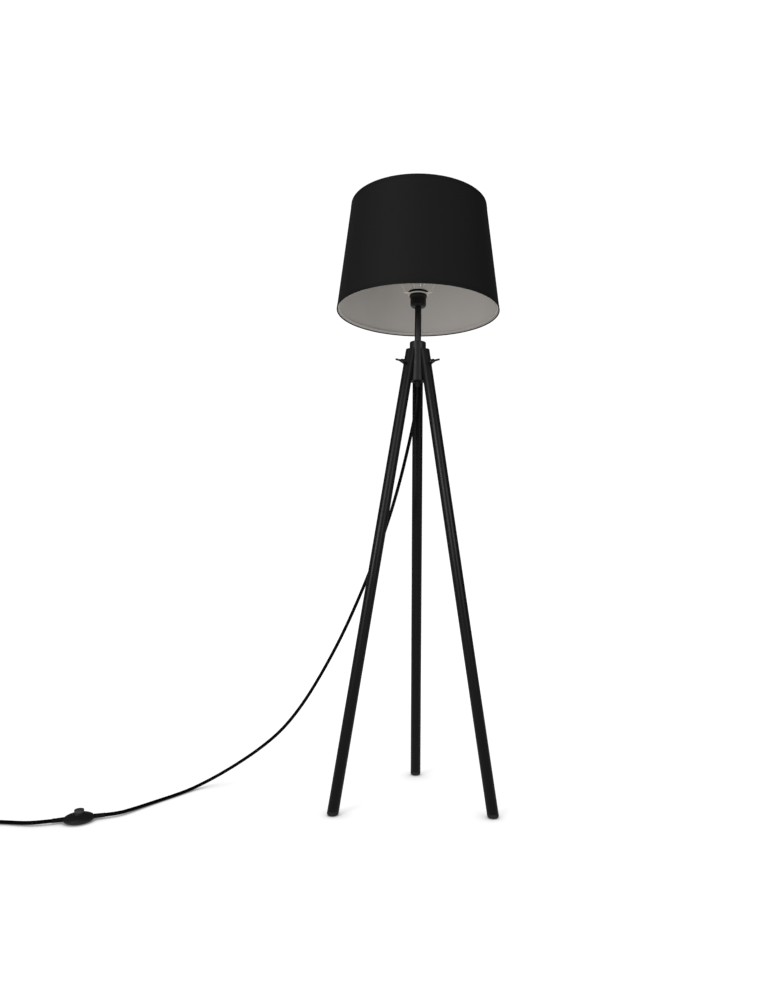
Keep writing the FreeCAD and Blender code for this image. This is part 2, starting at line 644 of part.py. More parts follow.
def build_cord():
    export("cord_grip", make_cord_grip())
    export("cord_hanging", cord_tube("cord_hanging", HANGING))
    export("cord_floor", cord_tube("cord_floor", ALONG_FLOOR))
    export("cord_tail", cord_tube("cord_tail", TAIL))
    tie = placed(make_tie(), COIL_CENTRE, -90)
    coil = placed(make_coil(), COIL_CENTRE, 0)
    export("cord_coil", coil.cut(tie))
    export("cord_tie", tie)


def build_switch():
    pieces = {
        "switch_base": make_switch_base(),
        "switch_cover": make_switch_cover(),
        "switch_button": make_switch_button(),
        "switch_spring": make_button_spring(),
        "switch_contacts": Part.makeCylinder(8.0, 5.0, Vector(0, 0, 2)),
        "switch_screw_left": make_switch_screw(1),
        "switch_screw_right": make_switch_screw(-1),
        "switch_relief_in": relief(-1),
        "switch_relief_out": relief(1),
    }
    for name, shape in pieces.items():
        export(name, placed(shape, SWITCH_PLACE, SWITCH_HEADING))


def build_plug():
    export("plug_relief", at_plug(make_plug_relief(), 0))
    export("plug_body", at_plug(make_plug_body(), PLUG_RELIEF))
    for name, side in (("plug_pin_left", 1), ("plug_pin_right", -1)):
        foot = Vector(0, side * PIN_SPACING / 2, 0)
        pin = Part.makeCylinder(PIN_RADIUS, PIN_LENGTH, foot, Vector(1, 0, 0))
        export(name, at_plug(pin, PLUG_RELIEF + PLUG_LENGTH))


build_tripod()
build_holder()
build_shade()
build_bulb()
build_cord()
build_switch()
build_plug()
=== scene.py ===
"""Tripod floor lamp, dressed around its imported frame. Metres, +Z up, the lamp's front is -Y.

Outlines of turned pieces are lists of (radius, height) in millimetres.
"""
import json
import math

import bmesh
import bpy
from mathutils import Matrix, Vector


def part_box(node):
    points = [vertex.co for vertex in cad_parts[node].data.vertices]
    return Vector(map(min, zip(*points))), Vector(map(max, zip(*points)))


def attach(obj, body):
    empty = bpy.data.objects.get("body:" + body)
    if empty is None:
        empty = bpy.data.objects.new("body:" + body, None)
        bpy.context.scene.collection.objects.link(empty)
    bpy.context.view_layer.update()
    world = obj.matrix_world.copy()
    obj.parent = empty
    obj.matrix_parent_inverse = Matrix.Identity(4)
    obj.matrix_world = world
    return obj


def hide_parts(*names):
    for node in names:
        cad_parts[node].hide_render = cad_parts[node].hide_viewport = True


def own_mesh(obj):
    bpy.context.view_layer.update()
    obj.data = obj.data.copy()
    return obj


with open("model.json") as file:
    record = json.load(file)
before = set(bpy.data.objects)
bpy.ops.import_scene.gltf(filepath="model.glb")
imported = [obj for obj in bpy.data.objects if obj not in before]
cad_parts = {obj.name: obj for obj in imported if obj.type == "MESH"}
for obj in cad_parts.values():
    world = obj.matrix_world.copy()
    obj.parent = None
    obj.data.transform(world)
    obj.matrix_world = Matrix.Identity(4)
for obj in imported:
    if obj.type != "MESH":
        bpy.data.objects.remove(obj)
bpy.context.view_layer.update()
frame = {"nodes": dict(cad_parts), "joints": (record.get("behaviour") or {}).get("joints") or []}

bl_info = {
    "name": "Tripod Floor Lamp",
    "version": (1, 0, 0),
    "blender": (4, 5, 0),
    "location": "3D View > Sidebar > Lamp",
    "description": "Makes the visible pieces of a tripod floor lamp around its packed frame",
    "category": "Mesh",
}

MM = 0.001
JOINTS = {joint["name"]: joint for joint in frame["joints"]}
LEGS = {"rear": 90.0, "front_left": 210.0, "front_right": 330.0}
SCREWS = {place: JOINTS["wing_screw_%s_turn" % place] for place in LEGS}
LEAN = math.asin(SCREWS["rear"]["axis"][2])


def low(node):
    """A CAD node's lowest corner."""
    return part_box(node)[0]


def high(node):
    """A CAD node's highest corner."""
    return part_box(node)[1]


def middle(node):
    """The middle of a CAD node's box."""
    return (low(node) + high(node)) / 2


AXIS_Y = middle("pole").y
LAMP_AXIS = Matrix.Translation((0, AXIS_Y, 0))
LEG_RADIUS = 0.013
WING_TURN = 17.0
SWITCH_HEADING = math.radians(-156.9)
SWITCH_PLACE = Vector((middle("switch_base").x, middle("switch_base").y, 0))
SWITCH_CORD_HEIGHT = 0.0072
RELIEF_ROOT = 0.022
RELIEF_END = 0.052
PLUG_HEADING = math.radians(-96.9)
PLUG_ENTRY = Vector((-1.0211, -0.2458 + AXIS_Y, 0.007))
PLUG_SLEEVE = 0.024
COIL_CENTRE = Vector((-0.9425, -0.2315 + AXIS_Y, 0))


# ---------------------------------------------------------------- what a user may change

class LAMP_PG_cord(bpy.types.PropertyGroup):
    diameter: bpy.props.FloatProperty(
        name="Cord Diameter", description="Outside diameter of the mains cord",
        default=0.008, min=0.004, max=0.012, subtype="DISTANCE", unit="LENGTH")
    outer_turn: bpy.props.FloatProperty(
        name="Outer Turn", description="Radius of the coil's outer turn",
        default=0.049, min=0.045, max=0.052, subtype="DISTANCE", unit="LENGTH")
    points_per_turn: bpy.props.IntProperty(
        name="Points per Turn", description="Control points in each turn of the coil",
        default=24, min=12, max=48)
    colour: bpy.props.FloatVectorProperty(
        name="Sheath Colour", description="Colour of the cord's sheath",
        default=(0.0012, 0.0012, 0.0012), min=0, max=1, subtype="COLOR")


class LAMP_PG_stand(bpy.types.PropertyGroup):
    leg_edge: bpy.props.FloatProperty(
        name="Leg Edge", description="Rounding of the edges at the legs' ends",
        default=0.0004, min=0.0, max=0.003, subtype="DISTANCE", unit="LENGTH")
    grain_length: bpy.props.FloatProperty(
        name="Grain Length", description="Length of the wood's pores along a leg",
        default=0.035, min=0.005, max=0.2, subtype="DISTANCE", unit="LENGTH")
    wood_colour: bpy.props.FloatVectorProperty(
        name="Stain Colour", description="Colour of the stained legs",
        default=(0.0046, 0.0044, 0.0042), min=0, max=1, subtype="COLOR")
    paint_colour: bpy.props.FloatVectorProperty(
        name="Paint Colour", description="Colour of the hub and the wing screws",
        default=(0.0055, 0.0055, 0.0057), min=0, max=1, subtype="COLOR")
    pole_colour: bpy.props.FloatVectorProperty(
        name="Pole Colour", description="Colour of the pole",
        default=(0.0040, 0.0039, 0.0037), min=0, max=1, subtype="COLOR")


class LAMP_PG_shade(bpy.types.PropertyGroup):
    thread_pitch: bpy.props.FloatProperty(
        name="Thread Pitch", description="Distance from thread to thread in the fabric",
        default=0.0007, min=0.0003, max=0.003, subtype="DISTANCE", unit="LENGTH")
    seam_width: bpy.props.FloatProperty(
        name="Seam Width", description="Width of the overlap down the back of the shade",
        default=0.010, min=0.004, max=0.02, subtype="DISTANCE", unit="LENGTH")
    fabric_colour: bpy.props.FloatVectorProperty(
        name="Fabric Colour", description="Colour of the shade's fabric",
        default=(0.0062, 0.0060, 0.0058), min=0, max=1, subtype="COLOR")
    tape_colour: bpy.props.FloatVectorProperty(
        name="Tape Colour", description="Colour of the tape round both rims",
        default=(0.0055, 0.0053, 0.0052), min=0, max=1, subtype="COLOR")
    lining_colour: bpy.props.FloatVectorProperty(
        name="Lining Colour", description="Colour of the laminate inside the fabric",
        default=(0.65, 0.62, 0.59), min=0, max=1, subtype="COLOR")
    frame_colour: bpy.props.FloatVectorProperty(
        name="Wire Colour", description="Colour of the spider and the wire rings",
        default=(0.80, 0.755, 0.66), min=0, max=1, subtype="COLOR")


class LAMP_PG_holder(bpy.types.PropertyGroup):
    plastic_colour: bpy.props.FloatVectorProperty(
        name="Plastic Colour", description="Colour of the lamp holder and the shade ring",
        default=(0.0035, 0.0035, 0.0036), min=0, max=1, subtype="COLOR")
    glass_tint: bpy.props.FloatVectorProperty(
        name="Glass Tint", description="Colour of the bulb's clear glass",
        default=(0.985, 0.99, 0.99), min=0, max=1, subtype="COLOR")


class LAMP_PG_switch(bpy.types.PropertyGroup):
    body_colour: bpy.props.FloatVectorProperty(
        name="Switch Colour", description="Colour of the foot switch's case",
        default=(0.0205, 0.0200, 0.0195), min=0, max=1, subtype="COLOR")
    button_colour: bpy.props.FloatVectorProperty(
        name="Button Colour", description="Colour of the foot switch's button",
        default=(0.085, 0.085, 0.086), min=0, max=1, subtype="COLOR")


class LAMP_PG_stage(bpy.types.PropertyGroup):
    camera_distance: bpy.props.FloatProperty(
        name="Camera Distance", description="From the lamp's axis to the camera, along the floor",
        default=1.7748, min=0.5, max=10, subtype="DISTANCE", unit="LENGTH")
    camera_height: bpy.props.FloatProperty(
        name="Camera Height", description="Height of the camera above the floor",
        default=0.5834, min=0.1, max=3, subtype="DISTANCE", unit="LENGTH")
    camera_side: bpy.props.FloatProperty(
        name="Camera Side", description="How far round to the lamp's right the camera stands",
        default=0.0196, min=-3.2, max=3.2, subtype="ANGLE", unit="ROTATION")
    camera_pitch: bpy.props.FloatProperty(
        name="Camera Pitch", description="How far the camera looks up from level",
        default=0.0717, min=-1.5, max=1.5, subtype="ANGLE", unit="ROTATION")
    camera_roll: bpy.props.FloatProperty(
        name="Camera Roll", description="How far the camera leans to its left",
        default=0.009, min=-0.5, max=0.5, subtype="ANGLE", unit="ROTATION")
    focal_length: bpy.props.FloatProperty(
        name="Focal Length", description="The lens, for a 36 mm sensor",
        default=26.41, min=10, max=200, unit="CAMERA")
    sideways_shift: bpy.props.FloatProperty(
        name="Sideways Shift", description="The lens's shift across the picture",
        default=-0.02944, min=-0.5, max=0.5, subtype="FACTOR")
    floor_colour: bpy.props.FloatVectorProperty(
        name="Floor Colour", description="Colour of the pale floor",
        default=(0.4, 0.4, 0.4), min=0, max=1, subtype="COLOR")
    floor_glow: bpy.props.FloatProperty(
        name="Floor Glow", description="How white the paper is by itself near the lamp",
        default=0.95, min=0, max=2, subtype="FACTOR")
    # Painted contact shadow: how far the paper's glow is painted darker close under the lamp.
    painted_shadow_depth: bpy.props.FloatProperty(
        name="Contact Shade", description="How much darker the paper is close under the lamp's feet",
        default=0.75, min=0, max=1, subtype="FACTOR")
    floor_return: bpy.props.FloatProperty(
        name="Floor Return", description="How bright the paper is as the lamp sees it",
        default=0.62, min=0, max=1, subtype="FACTOR")
    softbox_power: bpy.props.FloatProperty(
        name="Softbox Power", description="Power of each side softbox",
        default=8.5, min=0, max=1000, unit="POWER")
    softbox_spread: bpy.props.FloatProperty(
        name="Softbox Spread", description="How wide each softbox's grid lets its light go",
        default=1.05, min=0.1, max=3.1, subtype="ANGLE", unit="ROTATION")
    room_light: bpy.props.FloatProperty(
        name="Room Light", description="Even light from all round",
        default=0.06, min=0, max=3, subtype="FACTOR")


SETTINGS = {
    "lamp_cord": LAMP_PG_cord,
    "lamp_stand": LAMP_PG_stand,
    "lamp_shade": LAMP_PG_shade,
    "lamp_holder": LAMP_PG_holder,
    "lamp_switch": LAMP_PG_switch,
    "lamp_stage": LAMP_PG_stage,
}


# ---------------------------------------------------------------- bench tools

def clear_bench():
    """Leaves edit mode and deselects everything, so that an operator acts on nothing else."""
    if bpy.context.object and bpy.context.object.mode != "OBJECT":
        bpy.ops.object.mode_set(mode="OBJECT")
    bpy.ops.object.select_all(action="DESELECT")


def pick(*pieces):
    """Selects only these pieces, the first one active."""
    clear_bench()
    for piece in pieces:
        piece.select_set(True)
    bpy.context.view_layer.objects.active = pieces[0]


def named(name):
    """Names the piece that was just added, and brings its origin to the world's."""
    piece = bpy.context.object
    piece.name = name
    piece.data.name = name
    bpy.ops.object.transform_apply(location=True, rotation=True, scale=True)
    return piece


def edit(piece, mode="VERT"):
    """Goes into edit mode on one piece with all of it selected."""
    pick(piece)
    bpy.ops.object.mode_set(mode="EDIT")
    bpy.ops.mesh.select_mode(type=mode)
    bpy.ops.mesh.select_all(action="SELECT")


def leave_edit():
    """Back to object mode, with the mesh as edited."""
    bpy.ops.object.mode_set(mode="OBJECT")


def choose(piece, kind, wanted):
    """In edit mode, selects the verts, edges or faces for which wanted(element) is true."""
    bpy.ops.mesh.select_mode(type={"verts": "VERT", "edges": "EDGE", "faces": "FACE"}[kind])
    bpy.ops.mesh.select_all(action="DESELECT")
    mesh = bmesh.from_edit_mesh(piece.data)
    for element in getattr(mesh, kind):
        if wanted(element):
            element.select_set(True)
    mesh.select_flush_mode()
    bmesh.update_edit_mesh(piece.data)


def extrude(*offset):
    """In edit mode, extrudes what is selected by an offset."""
    bpy.ops.mesh.extrude_region_move(TRANSFORM_OT_translate={"value": offset})


def merge_close(distance=0.00001):
    """In edit mode, merges doubled corners and turns every face outwards."""
    bpy.ops.mesh.select_all(action="SELECT")
    bpy.ops.mesh.remove_doubles(threshold=distance)
    bpy.ops.mesh.normals_make_consistent(inside=False)


def modify(piece, kind, **settings):
    """Adds one modifier, and applies it."""
    pick(piece)
    modifier = piece.modifiers.new(kind.title(), kind)
    for name, value in settings.items():
        setattr(modifier, name, value)
    bpy.ops.object.modifier_apply(modifier=modifier.name)
    return piece


def soften(piece, width, segments=3, angle=35):
    """Rounds every edge that is sharper than the angle."""
    return modify(piece, "BEVEL", width=width, segments=segments, limit_method="ANGLE",
                  angle_limit=math.radians(angle), use_clamp_overlap=True)


def cut(piece, cutter):
    """Takes the cutter's shape out of a piece, and throws the cutter away."""
    modify(piece, "BOOLEAN", operation="DIFFERENCE", solver="EXACT", object=cutter)
    bpy.data.objects.remove(cutter)


def put(piece, matrix):
    """Moves a piece that was made at the origin to its place."""
    pick(piece)
    piece.matrix_world = matrix @ piece.matrix_world
    bpy.ops.object.transform_apply(location=True, rotation=True, scale=True)
    return piece


def join(name, *pieces):
    """Joins pieces into one mesh under one name."""
    pick(*pieces)
    bpy.ops.object.join()
    piece = bpy.context.object
    piece.name = name
    return piece


def twin(piece, name, matrix):
    """A copy with its own mesh, moved by a matrix."""
    pick(piece)
    bpy.ops.object.duplicate(linked=False)
    copy = bpy.context.object
    copy.name = name
    return put(copy, matrix)


def finish(piece, body, slot, material, *replaced, angle=32):
    """Shades a piece, gives it its material, and puts it on its body in the frame."""
    pick(piece)
    bpy.ops.object.shade_smooth_by_angle(angle=math.radians(angle))
    piece.data.materials.clear()
    piece.data.materials.append(material)
    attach(piece, body)
    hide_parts(*replaced)
    return piece


def dress(material, *nodes):
    """Gives CAD nodes that stay as they are their material."""
    for node in nodes:
        mesh = frame["nodes"][node].data
        mesh.materials.clear()
        mesh.materials.append(material)


def arc(centre_radius, centre_height, radius, start, end, steps):
    """(radius, height) points along an arc of an outline, angles in degrees from outwards, up."""
    points = []
    for step in range(steps + 1):
        angle = math.radians(start + (end - start) * step / steps)
        points.append((centre_radius + radius * math.cos(angle),
                       centre_height + radius * math.sin(angle)))
    return points


def turned(name, outline, sides=96, closed=True):
    """A piece turned about Z: a circle extruded and scaled through each (radius, height) in mm.

    A closed outline is a ring or tube. An open one is a solid, and its two ends are filled.
    """
    radius, height = outline[0]
    clear_bench()
    bpy.ops.mesh.primitive_circle_add(vertices=sides, radius=radius * MM, location=(0, 0, height * MM))
    piece = named(name)
    edit(piece)
    for next_radius, next_height in outline[1:] + (outline[:1] if closed else []):
        rise = (next_height - height) * MM
        factor = next_radius / radius
        extrude(0, 0, rise)
        bpy.ops.transform.resize(value=(factor, factor, 1), center_override=(0, 0, next_height * MM))
        radius, height = next_radius, next_height
    bpy.ops.mesh.select_all(action="SELECT")
    bpy.ops.mesh.remove_doubles(threshold=0.000002)
    if not closed:
        bpy.ops.mesh.fill_holes(sides=0)
        bpy.ops.mesh.select_all(action="SELECT")
    bpy.ops.mesh.normals_make_consistent(inside=False)
    leave_edit()
    return piece


def turned_skin(name, outline, sides=96):
    """An open skin turned about Z, filled only at its last, smallest ring."""
    piece = turned(name, outline, sides, closed=False)
    first_height = outline[0][1] * MM
    edit(piece, "FACE")
    choose(piece, "faces", lambda face: len(face.verts) > 4
           and abs(face.calc_center_median().z - first_height) < 0.00001)
    bpy.ops.mesh.delete(type="ONLY_FACE")
    leave_edit()
    return piece


def helix(radius, turns, start, run, steps):
    """Points in mm of a coil about an axis along X or Z, from start over the run."""
    points = []
    for step in range(turns * steps + 1):
        angle = 2 * math.pi * step / steps
        share = step / (turns * steps)
        across = radius * math.sin(angle)
        round_it = radius * math.cos(angle)
        offset = (0, across, round_it) if run[0] else (round_it, across, 0)
        points.append(tuple(begin + share * length + swing
                            for begin, length, swing in zip(start, run, offset)))
    return points


def wire(name, routes, radius):
    """Round wire along routes of points in mm, as a mesh."""
    curve = bpy.data.curves.new(name, "CURVE")
    curve.dimensions = "3D"
    curve.bevel_depth = radius * MM
    curve.bevel_resolution = 2
    curve.use_fill_caps = True
    for route in routes:
        spline = curve.splines.new("POLY")
        spline.points.add(len(route) - 1)
        for control, place in zip(spline.points, route):
            control.co = (*(Vector(place) * MM), 1)
    piece = bpy.data.objects.new(name, curve)
    bpy.context.scene.collection.objects.link(piece)
    pick(piece)
    bpy.ops.object.convert(target="MESH")
    return bpy.context.object


# ---------------------------------------------------------------- finishes

def add(material, kind, inputs=None, **settings):
    """Adds a shader node. An input that is another node's output is linked."""
    tree = material.node_tree
    made = tree.nodes.new(kind)
    for name, value in settings.items():
        setattr(made, name, value)
    for name, value in (inputs or {}).items():
        socket = made.inputs[name]
        if isinstance(value, bpy.types.NodeSocket):
            tree.links.new(value, socket)
        else:
            socket.default_value = value
    return made


def shader_of(material):
    """The material's own shader."""
    return material.node_tree.nodes["Principled BSDF"]


def start_material(name, colour, roughness, settings=None):
    """A material whose even values are set on the shader itself."""
    material = bpy.data.materials.new(name)
    material.use_nodes = True
    shader = shader_of(material)
    shader.inputs["Base Color"].default_value = (*colour, 1)
    shader.inputs["Roughness"].default_value = roughness
    for socket, value in (settings or {}).items():
        shader.inputs[socket].default_value = value
    return material


def link(material, value, socket):
    """Links a pattern to one of the shader's inputs."""
    material.node_tree.links.new(value, shader_of(material).inputs[socket])


def place_in(material, grain=(1, 1, 1), centre=(0, 0, 0), turn=(0, 0, 0), source="Object"):
    """Coordinates from a centre and turn, with grain as the size of one unit of the pattern."""
    coordinates = add(material, "ShaderNodeTexCoord")
    mapping = add(material, "ShaderNodeMapping", {
        "Vector": coordinates.outputs[source], "Location": centre, "Rotation": turn, "Scale": grain,
    }, vector_type="TEXTURE")
    return mapping.outputs["Vector"]


def noise(material, vector, detail=3.0, roughness=0.55, size=1.0):
    """Soft random spots, about 0 to 1."""
    made = add(material, "ShaderNodeTexNoise", {
        "Vector": vector, "Scale": 1.0 / size, "Detail": detail, "Roughness": roughness})
    return made.outputs["Fac"]


def between(material, value, start, end, from_start=0.3, from_end=0.7):
    """Brings a value into the range from start to end."""
    made = add(material, "ShaderNodeMapRange", {
        "Value": value, "From Min": from_start, "From Max": from_end, "To Min": start, "To Max": end})
    return made.outputs["Result"]


def combine(material, operation, first, second):
    """Adds, multiplies or otherwise combines two values or sockets."""
    made = add(material, "ShaderNodeMath", operation=operation)
    for socket, value in zip(made.inputs, (first, second)):
        if isinstance(value, bpy.types.NodeSocket):
            material.node_tree.links.new(value, socket)
        else:
            socket.default_value = value
    return made.outputs["Value"]


def tinted(material, factor, *stops):
    """Colour stops (position, colour) picked by a factor."""
    made = add(material, "ShaderNodeValToRGB", {"Fac": factor})
    ramp = made.color_ramp
    while len(ramp.elements) < len(stops):
        ramp.elements.new(0.5)
    for element, (position, colour) in zip(ramp.elements, stops):
        element.position = position
        element.color = (*colour, 1)
    return made.outputs["Color"]


def bumped(material, height, depth, strength=1.0):
    """Raises the surface by a height pattern, depth in metres."""
    made = add(material, "ShaderNodeBump", {"Height": height, "Distance": depth, "Strength": strength})
    link(material, made.outputs["Normal"], "Normal")


def times(colour, factor):
    """A colour made lighter or darker by a factor."""
    return tuple(min(1.0, channel * factor) for channel in colour)


def worn_edges(material, colour, worn, start=0.53, end=0.6):
    """The colour, with a lighter one along sharp outer edges."""
    geometry = add(material, "ShaderNodeNewGeometry")
    spots = noise(material, place_in(material, (0.004,) * 3), 4)
    edge = combine(material, "MULTIPLY", geometry.outputs["Pointiness"],
                   between(material, spots, 0.94, 1.05))
    return tinted(material, edge, (start, colour), (end, worn))


def satin_paint(name, colour, roughness=0.38):
    """Sprayed satin paint: fine orange peel, uneven sheen, slightly worn edges."""
    material = start_material(name, colour, roughness, {"Specular IOR Level": 0.17})
    peel = noise(material, place_in(material, (0.0011,) * 3), 2)
    patches = noise(material, place_in(material, (0.018,) * 3), 4)
    link(material, between(material, patches, roughness - 0.05, roughness + 0.08), "Roughness")
    link(material, worn_edges(material, colour, times(colour, 2.6)), "Base Color")
    bumped(material, peel, 0.00002, 0.6)
    return material


def stained_wood(name, place, colour, grain_length):
    """Black stained dowel: pores and rings along the leg, under a thin satin lacquer."""
    settings = {"Coat Weight": 0.05, "Coat Roughness": 0.35, "Specular IOR Level": 0.13}
    material = start_material(name, colour, 0.42, settings)
    azimuth = math.radians(LEGS[place])
    screw = Vector(SCREWS[place]["pos_m"])
    turn = (0, -LEAN, azimuth)
    pores = noise(material, place_in(material, (0.0007, 0.0007, grain_length), screw, turn), 4, 0.6)
    rings = add(material, "ShaderNodeTexWave", {
        "Vector": place_in(material, (0.010, 0.026, 0.9), screw, turn),
        "Scale": 1.6, "Distortion": 3.5, "Detail": 3.0, "Detail Scale": 1.2}).outputs["Fac"]
    cloud = noise(material, place_in(material, (0.02, 0.02, 0.16), screw, turn), 3)
    figure = combine(material, "ADD", combine(material, "MULTIPLY", pores, 0.55),
                     combine(material, "MULTIPLY", rings, 0.45))
    link(material, tinted(material, figure, (0.30, times(colour, 0.55)), (0.55, colour),
                          (0.8, times(colour, 1.7))), "Base Color")
    link(material, between(material, cloud, 0.36, 0.5), "Roughness")
    bumped(material, figure, 0.00005, 0.55)
    return material


def moulded_plastic(name, colour, roughness=0.45, texture=0.0004, depth=0.000025, worn=1.8):
    """Moulded thermoplastic: fine spark-eroded texture and handled, shinier patches."""
    material = start_material(name, colour, roughness, {"Specular IOR Level": 0.22})
    cells = add(material, "ShaderNodeTexVoronoi", {
        "Vector": place_in(material, (texture,) * 3), "Scale": 1.0})
    patches = noise(material, place_in(material, (0.011,) * 3), 4)
    link(material, between(material, patches, roughness - 0.07, roughness + 0.06), "Roughness")
    link(material, worn_edges(material, colour, times(colour, worn)), "Base Color")
    bumped(material, cells.outputs["Distance"], depth, 0.55)
    return material


def soft_rubber(name, colour):
    """Matt black rubber with a little dust."""
    material = start_material(name, colour, 0.75, {"Specular IOR Level": 0.35})
    dust = noise(material, place_in(material, (0.0035,) * 3), 6)
    link(material, tinted(material, dust, (0.35, colour), (0.75, times(colour, 2.2))), "Base Color")
    bumped(material, noise(material, place_in(material, (0.0006,) * 3), 3), 0.00005, 0.6)
    return material


def cord_sheath(name, colour):
    """Extruded soft sheath: satin, with faint draw lines and dust."""
    material = start_material(name, colour, 0.5, {"Specular IOR Level": 0.05})
    ripple = noise(material, place_in(material, (0.0016,) * 3), 3)
    dust = noise(material, place_in(material, (0.02,) * 3), 6)
    link(material, tinted(material, dust, (0.4, colour), (0.8, times(colour, 1.7))), "Base Color")
    link(material, between(material, ripple, 0.38, 0.52), "Roughness")
    bumped(material, ripple, 0.00003, 0.5)
    return material


def woven_cloth(name, colour, pitch, slub=0.35, thread_gloss=0.72):
    """Plain weave on the piece's UV map, which is in metres: u round the shade and v up it. The colour
    follows the weave's height: the slub is the threads' own tone, and the hollows carry painted shade and
    the thread crowns a painted highlight.
    """
    material = start_material(name, colour, thread_gloss, {
        "Specular IOR Level": 0.09, "Sheen Weight": 0.02, "Sheen Roughness": 0.5})
    threads = place_in(material, (pitch, pitch, 1), source="UV")
    split = add(material, "ShaderNodeSeparateXYZ", {"Vector": threads})
    crossing = add(material, "ShaderNodeTexChecker", {"Vector": threads, "Scale": 1.0})
    warp = combine(material, "PINGPONG", split.outputs["X"], 0.5)
    weft = combine(material, "PINGPONG", split.outputs["Y"], 0.5)
    over = add(material, "ShaderNodeMix", {"Factor": crossing.outputs["Fac"], "A": warp, "B": weft})
    warp_slub = noise(material, place_in(material, (pitch * 1.3, 0.045, 1), source="UV"), 3)
    weft_slub = noise(material, place_in(material, (0.045, pitch * 1.3, 1), source="UV"), 3)
    uneven = combine(material, "ADD", combine(material, "MULTIPLY", warp_slub, slub),
                     combine(material, "MULTIPLY", weft_slub, slub))
    height = combine(material, "ADD", over.outputs["Result"], uneven)
    # Painted shade and highlight: darker in the weave's hollows, lighter on the thread crowns; the slub part
    # is the threads' own uneven tone.
    link(material, tinted(material, height, (0.30, times(colour, 0.5)), (0.62, colour),
                          (0.95, times(colour, 1.75))), "Base Color")
    bumped(material, height, pitch * 0.22, 0.7)
    return material


def laminate(name, colour):
    """Off-white laminate: nearly plain, with faint fibres and handling marks."""
    material = start_material(name, colour, 0.62, {"Specular IOR Level": 0.35})
    fibres = noise(material, place_in(material, (0.004, 0.004, 0.0012)), 5)
    marks = noise(material, place_in(material, (0.09,) * 3), 3)
    link(material, tinted(material, marks, (0.3, times(colour, 0.95)), (0.7, colour)), "Base Color")
    link(material, between(material, marks, 0.55, 0.7), "Roughness")
    bumped(material, fibres, 0.00004, 0.4)
    return material


def powder_coat(name, colour):
    """Powder coat on wire: pebbled, and yellower where it pooled."""
    material = start_material(name, colour, 0.42, {"Specular IOR Level": 0.5})
    pebble = noise(material, place_in(material, (0.0009,) * 3), 2)
    pooled = noise(material, place_in(material, (0.012,) * 3), 4)
    link(material, tinted(material, pooled, (0.35, times(colour, 0.9)), (0.65, colour)), "Base Color")
    bumped(material, pebble, 0.00004, 0.6)
    return material


def plated_metal(name, colour, roughness=0.22):
    """Plated or drawn metal: fine turned scratches and a little tarnish."""
    material = start_material(name, colour, roughness, {"Metallic": 1.0})
    scratches = noise(material, place_in(material, (0.004, 0.004, 0.0001)), 3)
    tarnish = noise(material, place_in(material, (0.006,) * 3), 5)
    link(material, tinted(material, tarnish, (0.3, times(colour, 0.72)), (0.6, colour)), "Base Color")
    link(material, between(material, scratches, roughness, roughness + 0.16), "Roughness")
    bumped(material, scratches, 0.00001, 0.4)
    return material


def bare_ceramic(name, colour):
    """Unglazed ceramic with dark specks."""
    material = start_material(name, colour, 0.7)
    bumped(material, noise(material, place_in(material, (0.0007,) * 3), 5), 0.00004, 0.6)
    specks = noise(material, place_in(material, (0.0016,) * 3), 5)
    link(material, tinted(material, specks, (0.25, times(colour, 0.8)), (0.45, colour)), "Base Color")
    return material


def clear_glass(name, colour):
    """Blown clear glass, faintly uneven."""
    material = start_material(name, colour, 0.0, {"Transmission Weight": 1.0, "IOR": 1.46})
    smears = noise(material, place_in(material, (0.014,) * 3), 5)
    link(material, between(material, smears, 0.0, 0.045, 0.45, 0.8), "Roughness")
    bumped(material, noise(material, place_in(material, (0.02,) * 3), 1), 0.00006, 0.3)
    return material


# ---------------------------------------------------------------- cords

def along_switch(distance):
    """A point on the switch's long axis, at the cord's height there."""
    return (SWITCH_PLACE.x + distance * math.cos(SWITCH_HEADING),
            SWITCH_PLACE.y + distance * math.sin(SWITCH_HEADING), SWITCH_CORD_HEIGHT)


def along_plug(distance):
    """A point on the plug's long axis."""
    return (PLUG_ENTRY.x + distance * math.cos(PLUG_HEADING),
            PLUG_ENTRY.y + distance * math.sin(PLUG_HEADING), PLUG_ENTRY.z)


def off_axis(*points):
    """Route points given about the lamp's axis, moved to where the axis stands."""
    return [(x, y + AXIS_Y, z) for x, y, z in points]


HANGING = off_axis(
    (0, 0, 0.988), (0, 0, 0.950), (-0.008, 0.0008, 0.905), (-0.021, 0.0036, 0.842),
    (-0.041, 0.009, 0.756), (-0.0675, 0.019, 0.664), (-0.1005, 0.031, 0.570), (-0.139, 0.045, 0.474),
    (-0.181, 0.0605, 0.380), (-0.2285, 0.0755, 0.290), (-0.279, 0.0885, 0.206), (-0.332, 0.0975, 0.138),
    (-0.388, 0.1025, 0.090), (-0.443, 0.1035, 0.052), (-0.489, 0.0955, 0.025), (-0.5225, 0.075, 0.010),
    (-0.546, 0.0405, 0.0042), (-0.568, 0, 0.004), (-0.5905, -0.0355, 0.004), (-0.6115, -0.072, 0.0045),
    (-0.630, -0.1065, 0.0059),
) + [along_switch(-RELIEF_END - 0.026), along_switch(-RELIEF_END + 0.008)]
ALONG_FLOOR = [along_switch(RELIEF_END), along_switch(RELIEF_END + 0.024)] + off_axis(
    (-0.8165, -0.194, 0.0056), (-0.8585, -0.1875, 0.0042), (-0.9015, -0.183, 0.004))
TAIL = off_axis(
    (-0.9585, -0.1865, 0.0122), (-0.9833, -0.1906, 0.0124), (-1.0056, -0.2057, 0.0094),
) + [along_plug(-0.018), along_plug(0)]


